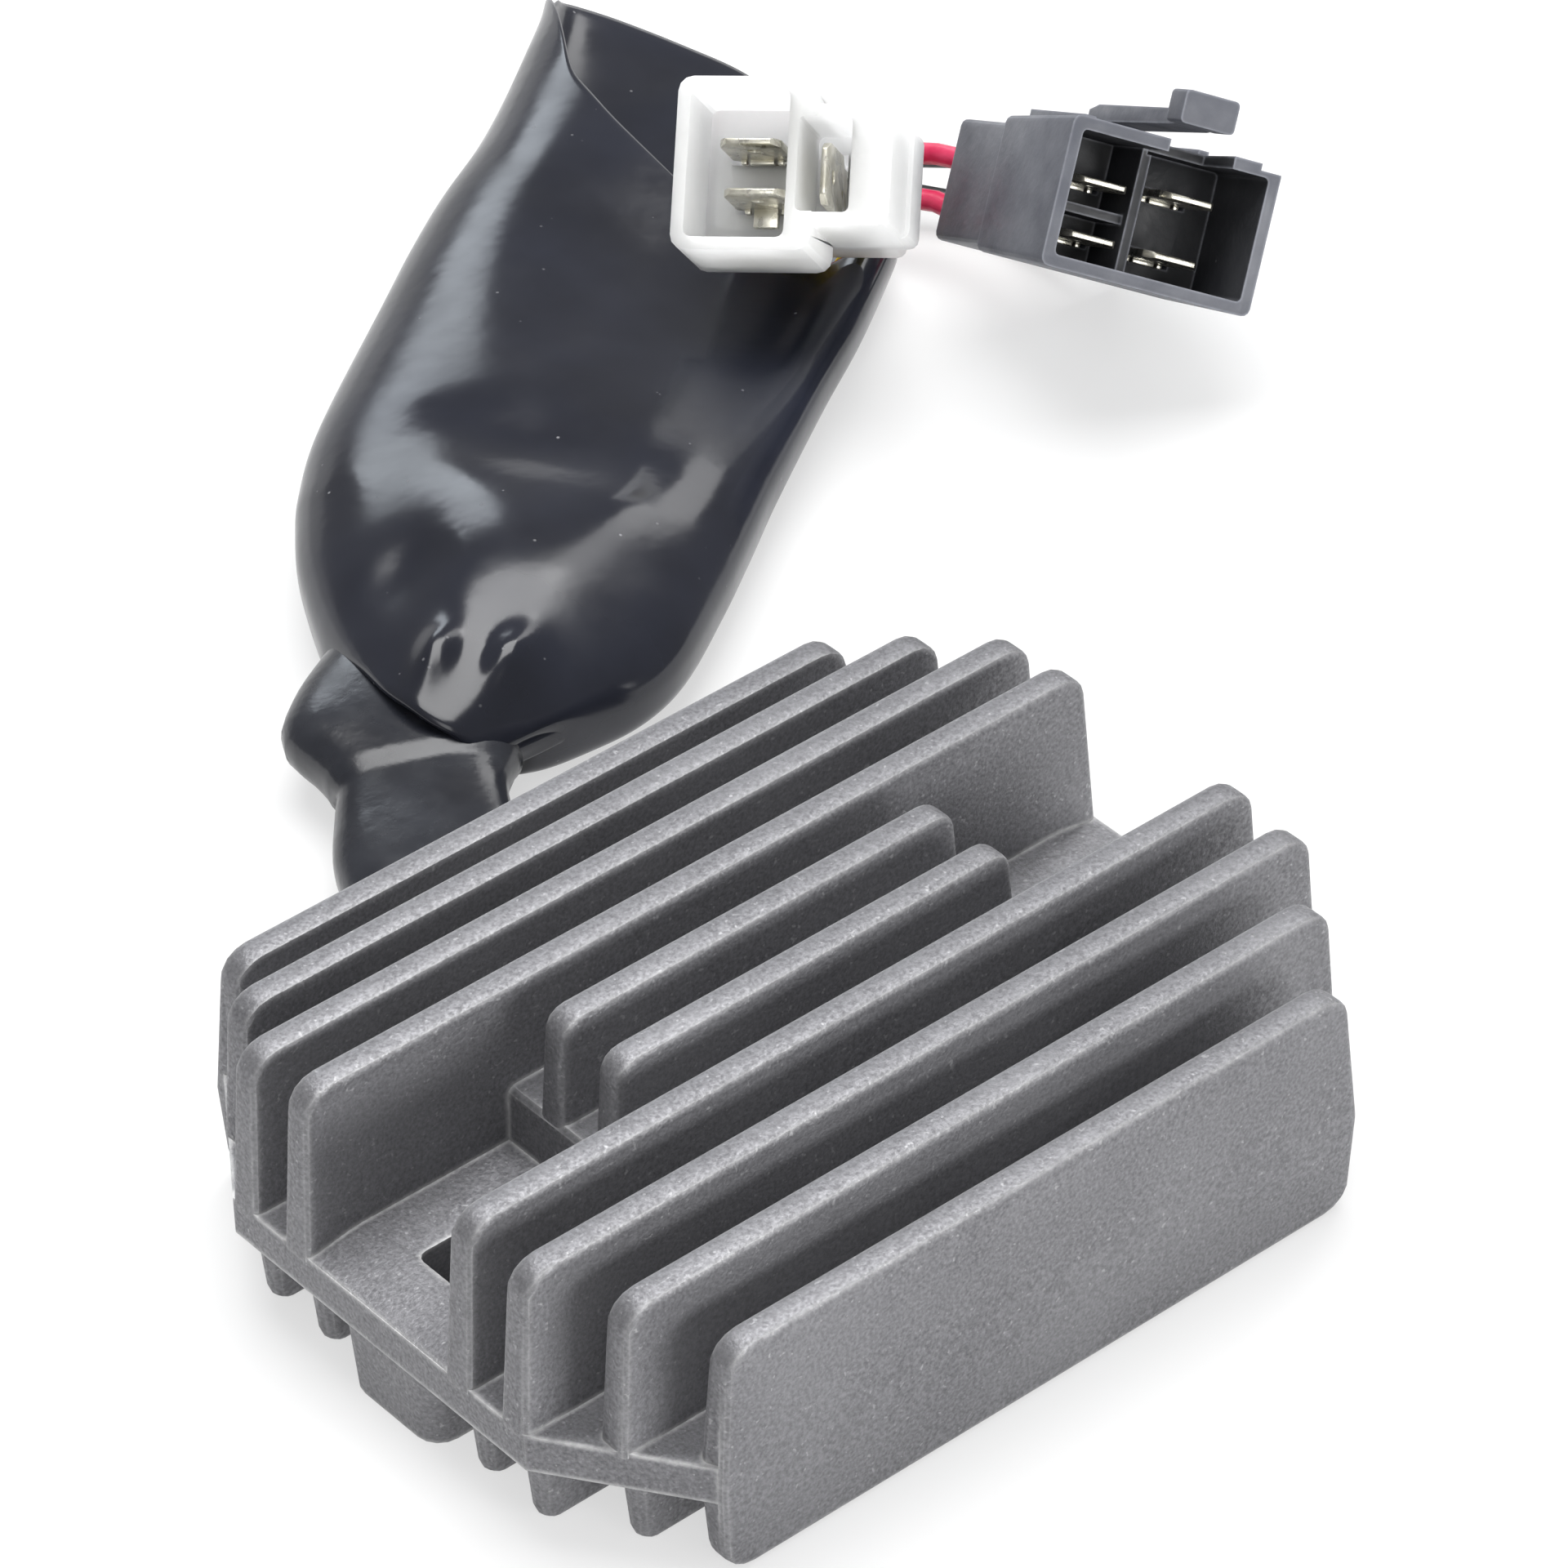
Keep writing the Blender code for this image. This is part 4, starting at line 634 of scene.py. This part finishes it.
# The blades are stamped from tinned brass, 6.3 mm wide and 0.8 mm thick, with chamfered tips.
# Each is crimped to its wire and pushed in from the rear until its barb snaps behind the nylon.
tin, tin_tree, tin_shader = new_material("tinned_brass", 0.28, 1.0)
tin_tone = mottled(tin_tree, 600.0, (0.5, 0.48, 0.4), (0.76, 0.74, 0.66))
# Its edges are painted paler: partly rubbing, partly a painted highlight.
tin_edge_wear_and_sheen = use_group(tin_tree, edge_wear_and_sheen, Radius=0.0002, Break=1500.0)
tin_tone = overlay(tin_tree, tin_edge_wear_and_sheen.outputs["Edge"], 0.6, tin_tone, (0.85, 0.83, 0.76))
tin_tree.links.new(tin_tone, tin_shader.inputs["Base Color"])
drawn = noise(tin_tree, 900.0, 3.0, 0.5, (1.0, 1.0, 0.15))
uneven_gloss(tin_tree, tin_shader, drawn, 0.2, 0.42)
bump(tin_tree, tin_shader, noise(tin_tree, 1800.0, 2.0), 0.15, 0.0001)

# How wide a blade is, how far it stands out of its socket's floor, and where those floors are (mm).
blade_wide, blade_out, white_floor, black_floor = 6.3, 8.0, -9.6, -11.0


def blade_piece(name, node, place, where, root, hangs):
    """A blade with a chamfered tip, a hole near it, and shoulders and folded stops at its root."""
    x, y, upright = where
    piece = new_piece(name, bpy.data.meshes.new(name))
    half = blade_wide / 2
    neck = half - 1.1
    tip = root + blade_out
    # Places along the blade, with its half width and half thickness there.
    sections = (
        (root - 5.0, neck, 0.4),
        (root + 0.2, neck, 0.4),
        (root + 0.9, half, 0.4),
        (tip - 1.3, half, 0.4),
        (tip - 0.35, half - 0.55, 0.36),
        (tip, half - 0.85, 0.24),
    )
    shape = bmesh.new()
    rows = []
    for along, wide, thick in sections:
        row = []
        for across, up in ((wide, thick), (-wide, thick), (-wide, -thick), (wide, -thick)):
            if upright:
                across, up = up, across
            row.append(shape.verts.new(((x + across) / 1000, (y + up) / 1000, along / 1000)))
        rows.append(row)
    for low, high in zip(rows, rows[1:]):
        for side in range(4):
            after = (side + 1) % 4
            shape.faces.new((low[side], low[after], high[after], high[side]))
    shape.faces.new(rows[0][::-1])
    shape.faces.new(rows[-1])
    # Each stop: how far aside it is, its width, and how far it hangs under the blade.
    for aside, wide, drop in ((0.0, 2.5, hangs), (-1.9, 0.6, 0.5), (1.9, 0.6, 0.5)):
        spot, size = (x + aside, y - 0.35 - drop / 2), (wide, drop)
        if upright:
            spot, size = (x - 0.35 - drop / 2, y + aside), (drop, wide)
        stop = Matrix.Translation((spot[0] / 1000, spot[1] / 1000, (root + 0.85) / 1000))
        stop = stop @ Matrix.Diagonal((size[0] / 1000, size[1] / 1000, 0.0009, 1.0))
        bmesh.ops.create_cube(shape, size=1.0, matrix=stop)
    bmesh.ops.recalc_face_normals(shape, faces=shape.faces)
    shape.to_mesh(piece.data)
    shape.free()
    drill = bpy.data.objects.new("drill", bpy.data.meshes.new("drill"))
    hole = bmesh.new()
    drilled = Matrix.Translation((x / 1000, y / 1000, (tip - 2.9) / 1000))
    drilled = drilled @ Matrix.Rotation(math.radians(90.0), 4, "Y" if upright else "X")
    bmesh.ops.create_cone(hole, cap_ends=True, segments=20, radius1=0.0007, radius2=0.0007,
                          depth=0.003, matrix=drilled)
    hole.to_mesh(drill.data)
    hole.free()
    bpy.context.scene.collection.objects.link(drill)
    cut = piece.modifiers.new("hole", "BOOLEAN")
    cut.operation = "DIFFERENCE"
    cut.object = drill
    bpy.context.view_layer.objects.active = piece
    bpy.ops.object.modifier_apply(modifier="hole")
    bpy.data.objects.remove(drill, do_unlink=True)
    soften = piece.modifiers.new("soften", "BEVEL")
    soften.width = 0.00008
    soften.segments = 2
    soften.limit_method = "ANGLE"
    bpy.ops.object.modifier_apply(modifier="soften")
    piece.data.transform(place)
    piece.data.materials.clear()
    piece.data.materials.append(tin)
    bpy.ops.object.shade_smooth_by_angle(angle=math.radians(30.0))
    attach(piece, "root")
    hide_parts(node)


# Each blade's place across its housing (mm), and whether it stands upright.
white_blades = ((-0.1, 2.6, False), (0.6, -2.5, False), (7.8, -0.4, True))
black_blades = ((-5.6, 1.8, False), (4.4, 2.4, False), (-5.5, -3.8, False), (4.1, -3.8, False))
for number, where in enumerate(white_blades, 1):
    blade_piece(f"white_blade_{number}", f"white_terminal_{number}", white_place, where,
                white_floor, 1.9 if number == 2 else 0.5)
for number, where in enumerate(black_blades, 1):
    blade_piece(f"black_blade_{number}", f"black_terminal_{number}", black_place, where,
                black_floor, 0.5)

# The potting resin fills the casting's underside over the electronics, black and a little sunken.
# It is poured in place, so its face is glossy, with slow waves and settled dust.
resin, resin_tree, resin_shader = new_material("potting_resin", 0.2)
resin_tone = mottled(resin_tree, 45.0, (0.012, 0.012, 0.014), (0.026, 0.026, 0.03), 0.3)
resin_dust = use_group(resin_tree, dust, Scale=520.0, Amount=0.8)
resin_tone = mixed(resin_tree, resin_dust.outputs["Specks"], resin_tone, (0.36, 0.35, 0.33))
resin_tree.links.new(resin_tone, resin_shader.inputs["Base Color"])
resin_gloss = spread(resin_tree, noise(resin_tree, 160.0, 5.0), 0.3, 0.75, 0.14, 0.4)
resin_gloss = math_node(resin_tree, "ADD", resin_gloss, resin_dust.outputs["Specks"])
resin_tree.links.new(resin_gloss, resin_shader.inputs["Roughness"])
bump(resin_tree, resin_shader, noise(resin_tree, 55.0, 3.0), 0.3, 0.0012)
resin_fill = rounded_copy("potting_resin_fill", "potting_resin", 0.0003, 2, resin)

# The grommet closes the casting round the sleeve, moulded in soft black rubber.
# It is pressed into the notch of the side wall before the resin is poured.
rubber, rubber_tree, rubber_shader = new_material("grommet_rubber", 0.55)
rubber_tone = mottled(rubber_tree, 260.0, (0.014, 0.014, 0.015), (0.034, 0.034, 0.036))
rubber_dust = use_group(rubber_tree, dust, Scale=800.0, Amount=0.7)
rubber_tone = mixed(rubber_tree, rubber_dust.outputs["Specks"], rubber_tone, (0.3, 0.3, 0.29))
rubber_tree.links.new(rubber_tone, rubber_shader.inputs["Base Color"])
uneven_gloss(rubber_tree, rubber_shader, noise(rubber_tree, 500.0, 3.0), 0.45, 0.7)
bump(rubber_tree, rubber_shader, noise(rubber_tree, 900.0, 3.0), 0.3, 0.0002)
grommet = rounded_copy("wire_grommet_ring", "wire_grommet", 0.0003, 2, rubber)

# Seven stranded wires run from the resin through the sleeve and the boot into the connectors.
# Each is a copper core in soft coloured plastic, 2.3 mm across.
def smooth_route(marks, step, parts=24):
    """A smooth line through the marks (mm), as points in metres that lie this step apart."""
    marks = [Vector(mark) / 1000 for mark in marks]
    marks = [2 * marks[0] - marks[1]] + marks + [2 * marks[-1] - marks[-2]]
    fine = []
    for at in range(1, len(marks) - 2):
        before, low, high, after = marks[at - 1:at + 3]
        for count in range(parts):
            t = count / parts
            bend = (2 * before - 5 * low + 4 * high - after) * t ** 2
            twist = (3 * low - before - 3 * high + after) * t ** 3
            fine.append((2 * low + (high - before) * t + bend + twist) / 2)
    fine.append(marks[-2])
    points = [fine[0]]
    for point in fine[1:-1]:
        if (point - points[-1]).length >= step:
            points.append(point)
    return points + [fine[-1]]


def wire(name, node, marks, made):
    """A round wire along its marks."""
    points = smooth_route(marks, 0.0025)
    curve = bpy.data.curves.new(name, "CURVE")
    curve.dimensions = "3D"
    curve.bevel_depth = 0.00115
    curve.bevel_resolution = 4
    curve.use_fill_caps = True
    curve.materials.append(made)
    spline = curve.splines.new("POLY")
    spline.points.add(len(points) - 1)
    for at, point in enumerate(points):
        spline.points[at].co = (*point, 1.0)
    spline.use_smooth = True
    piece = bpy.data.objects.new(name, curve)
    bpy.context.scene.collection.objects.link(piece)
    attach(piece, "root")
    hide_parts(node)


def insulation(name, colour, pale):
    """Soft coloured plastic that is a little paler in clouds."""
    made, tree, shader = new_material(name, 0.32)
    tree.links.new(mottled(tree, 420.0, colour, pale, detail=3.0), shader.inputs["Base Color"])
    uneven_gloss(tree, shader, noise(tree, 900.0, 2.0), 0.28, 0.42)
    bump(tree, shader, noise(tree, 1500.0, 2.0), 0.15, 0.0001)
    return made


yellow = insulation("yellow_insulation", (0.8, 0.66, 0.03), (0.9, 0.8, 0.12))
red = insulation("red_insulation", (0.56, 0.012, 0.07), (0.68, 0.05, 0.13))
black = insulation("black_insulation", (0.012, 0.012, 0.014), (0.03, 0.03, 0.034))

# Each wire's marks from the resin to its blade (mm).
routes = {
    "yellow_wire_1": (
        (-4.7, 21.2, 3.6), (-4.7, 28.0, 3.6), (-4.7, 38.2, 3.6), (-4.0, 43.5, 3.6),
        (-0.7, 51.2, 3.8), (3.7, 59.4, 4.3), (8.6, 68.6, 4.8), (15.4, 73.7, 4.9),
        (23.0, 78.6, 5.0), (43.7, 85.4, 4.8), (55.2, 88.1, 4.2), (65.8, 92.0, 3.6),
        (76.0, 98.3, 3.2), (84.0, 104.1, 3.2), (86.8, 105.6, 3.9), (89.3, 106.3, 6.0),
        (90.9, 106.1, 8.9), (91.2, 105.3, 12.1), (90.1, 104.1, 14.9), (88.0, 102.8, 17.4),
        (85.4, 101.1, 20.7),
    ),
    "yellow_wire_2": (
        (-1.3, 21.2, 3.6), (-1.3, 28.0, 3.6), (-1.3, 37.8, 3.6), (-0.8, 42.5, 3.6),
        (2.3, 49.8, 3.8), (6.7, 57.8, 4.3), (11.3, 66.4, 4.8), (17.3, 70.9, 4.9),
        (24.9, 75.7, 5.0), (45.6, 82.6, 4.8), (57.0, 85.4, 4.2), (67.6, 89.4, 3.8),
        (77.8, 95.7, 3.6), (84.5, 99.7, 3.3), (86.4, 100.8, 3.8), (87.9, 101.6, 5.2),
        (88.7, 101.9, 7.3), (88.7, 101.7, 9.5), (87.8, 101.0, 11.4), (85.8, 99.7, 14.0),
        (83.1, 98.0, 17.3),
    ),
    "yellow_wire_3": (
        (2.1, 21.2, 3.6), (2.1, 28.0, 3.6), (2.1, 37.4, 3.6), (2.5, 41.5, 3.6),
        (5.4, 48.3, 3.8), (9.7, 56.2, 4.3), (13.9, 64.3, 4.8), (19.3, 68.1, 4.9),
        (26.7, 72.9, 5.0), (47.5, 79.8, 4.8), (58.9, 82.6, 4.4), (69.4, 86.7, 4.3),
        (79.6, 93.0, 4.2), (87.5, 98.1, 4.2), (89.8, 99.1, 4.8), (92.1, 99.2, 6.4),
        (93.7, 98.6, 8.8), (94.2, 97.6, 11.4), (93.4, 96.5, 13.6), (91.4, 95.1, 16.1),
        (88.7, 93.4, 19.4),
    ),
    "red_wire_1": (
        (0.4, 18.2, 6.9), (0.4, 28.0, 6.9), (0.4, 37.6, 6.9), (0.9, 42.0, 6.9),
        (3.9, 49.0, 7.1), (8.2, 57.0, 7.6), (12.6, 65.4, 8.1), (18.3, 69.5, 8.2),
        (25.8, 74.3, 8.2), (44.4, 84.4, 8.3), (54.4, 89.3, 7.4), (64.1, 94.6, 4.8),
        (74.2, 101.0, 3.6), (84.8, 108.1, 3.6), (90.8, 110.3, 4.2), (97.2, 109.6, 5.4),
        (102.5, 106.0, 7.0), (105.7, 100.4, 8.2), (105.9, 93.9, 8.4), (105.3, 91.3, 9.8),
        (104.8, 88.7, 11.2), (103.6, 83.0, 14.2),
    ),
    "red_wire_2": (
        (-3.0, 18.2, 6.9), (-3.0, 28.0, 6.9), (-3.0, 38.0, 6.9), (-2.4, 43.0, 6.9),
        (0.8, 50.5, 7.1), (5.2, 58.6, 7.6), (10.0, 67.5, 8.1), (16.4, 72.3, 8.2),
        (23.9, 77.2, 8.2), (42.6, 87.1, 8.2), (52.6, 91.8, 6.6), (62.4, 97.1, 4.4),
        (72.6, 103.5, 3.4), (84.9, 111.8, 3.8), (91.8, 114.3, 6.2), (99.1, 113.5, 7.6),
        (105.2, 109.4, 9.4), (108.7, 102.9, 11.4), (109.0, 95.6, 12.8), (108.4, 93.0, 14.1),
        (107.9, 90.4, 15.5), (106.7, 84.6, 18.6),
    ),
    "black_wire_1": (
        (-6.4, 18.2, 6.9), (-6.4, 28.0, 6.9), (-6.4, 38.4, 6.9), (-5.7, 44.0, 6.9),
        (-2.3, 52.0, 7.1), (2.2, 60.2, 7.6), (7.3, 69.7, 8.1), (14.4, 75.1, 8.2),
        (22.1, 80.0, 8.2), (40.8, 89.8, 7.6), (50.9, 94.4, 5.4), (60.7, 99.6, 3.8),
        (70.9, 105.9, 3.4), (80.4, 112.4, 3.5), (89.9, 115.9, 3.6), (99.9, 114.7, 3.9),
        (108.3, 109.1, 3.6), (113.3, 100.2, 3.5), (113.6, 90.1, 4.2), (113.1, 87.5, 5.5),
        (112.5, 84.9, 6.9), (111.3, 79.1, 10.0),
    ),
    "black_wire_2": (
        (-8.1, 21.2, 3.6), (-8.1, 28.0, 3.6), (-8.1, 38.6, 3.6), (-7.3, 44.5, 3.6),
        (-3.8, 52.7, 3.8), (0.7, 61.0, 4.3), (6.0, 70.7, 4.8), (13.5, 76.5, 4.9),
        (21.2, 81.5, 5.0), (39.3, 91.9, 4.6), (49.2, 96.9, 4.0), (59.0, 102.1, 3.6),
        (69.2, 108.4, 3.4), (80.8, 116.3, 3.5), (91.3, 120.2, 3.6), (102.3, 118.9, 4.0),
        (111.6, 112.7, 4.8), (117.0, 102.9, 6.6), (117.4, 91.8, 8.8), (116.8, 89.2, 10.2),
        (116.3, 86.6, 11.6), (115.1, 80.8, 14.6),
    ),
}
for node, marks in routes.items():
    made = {"y": yellow, "r": red, "b": black}[node[0]]
    wire(node + "_lead", node, marks, made)
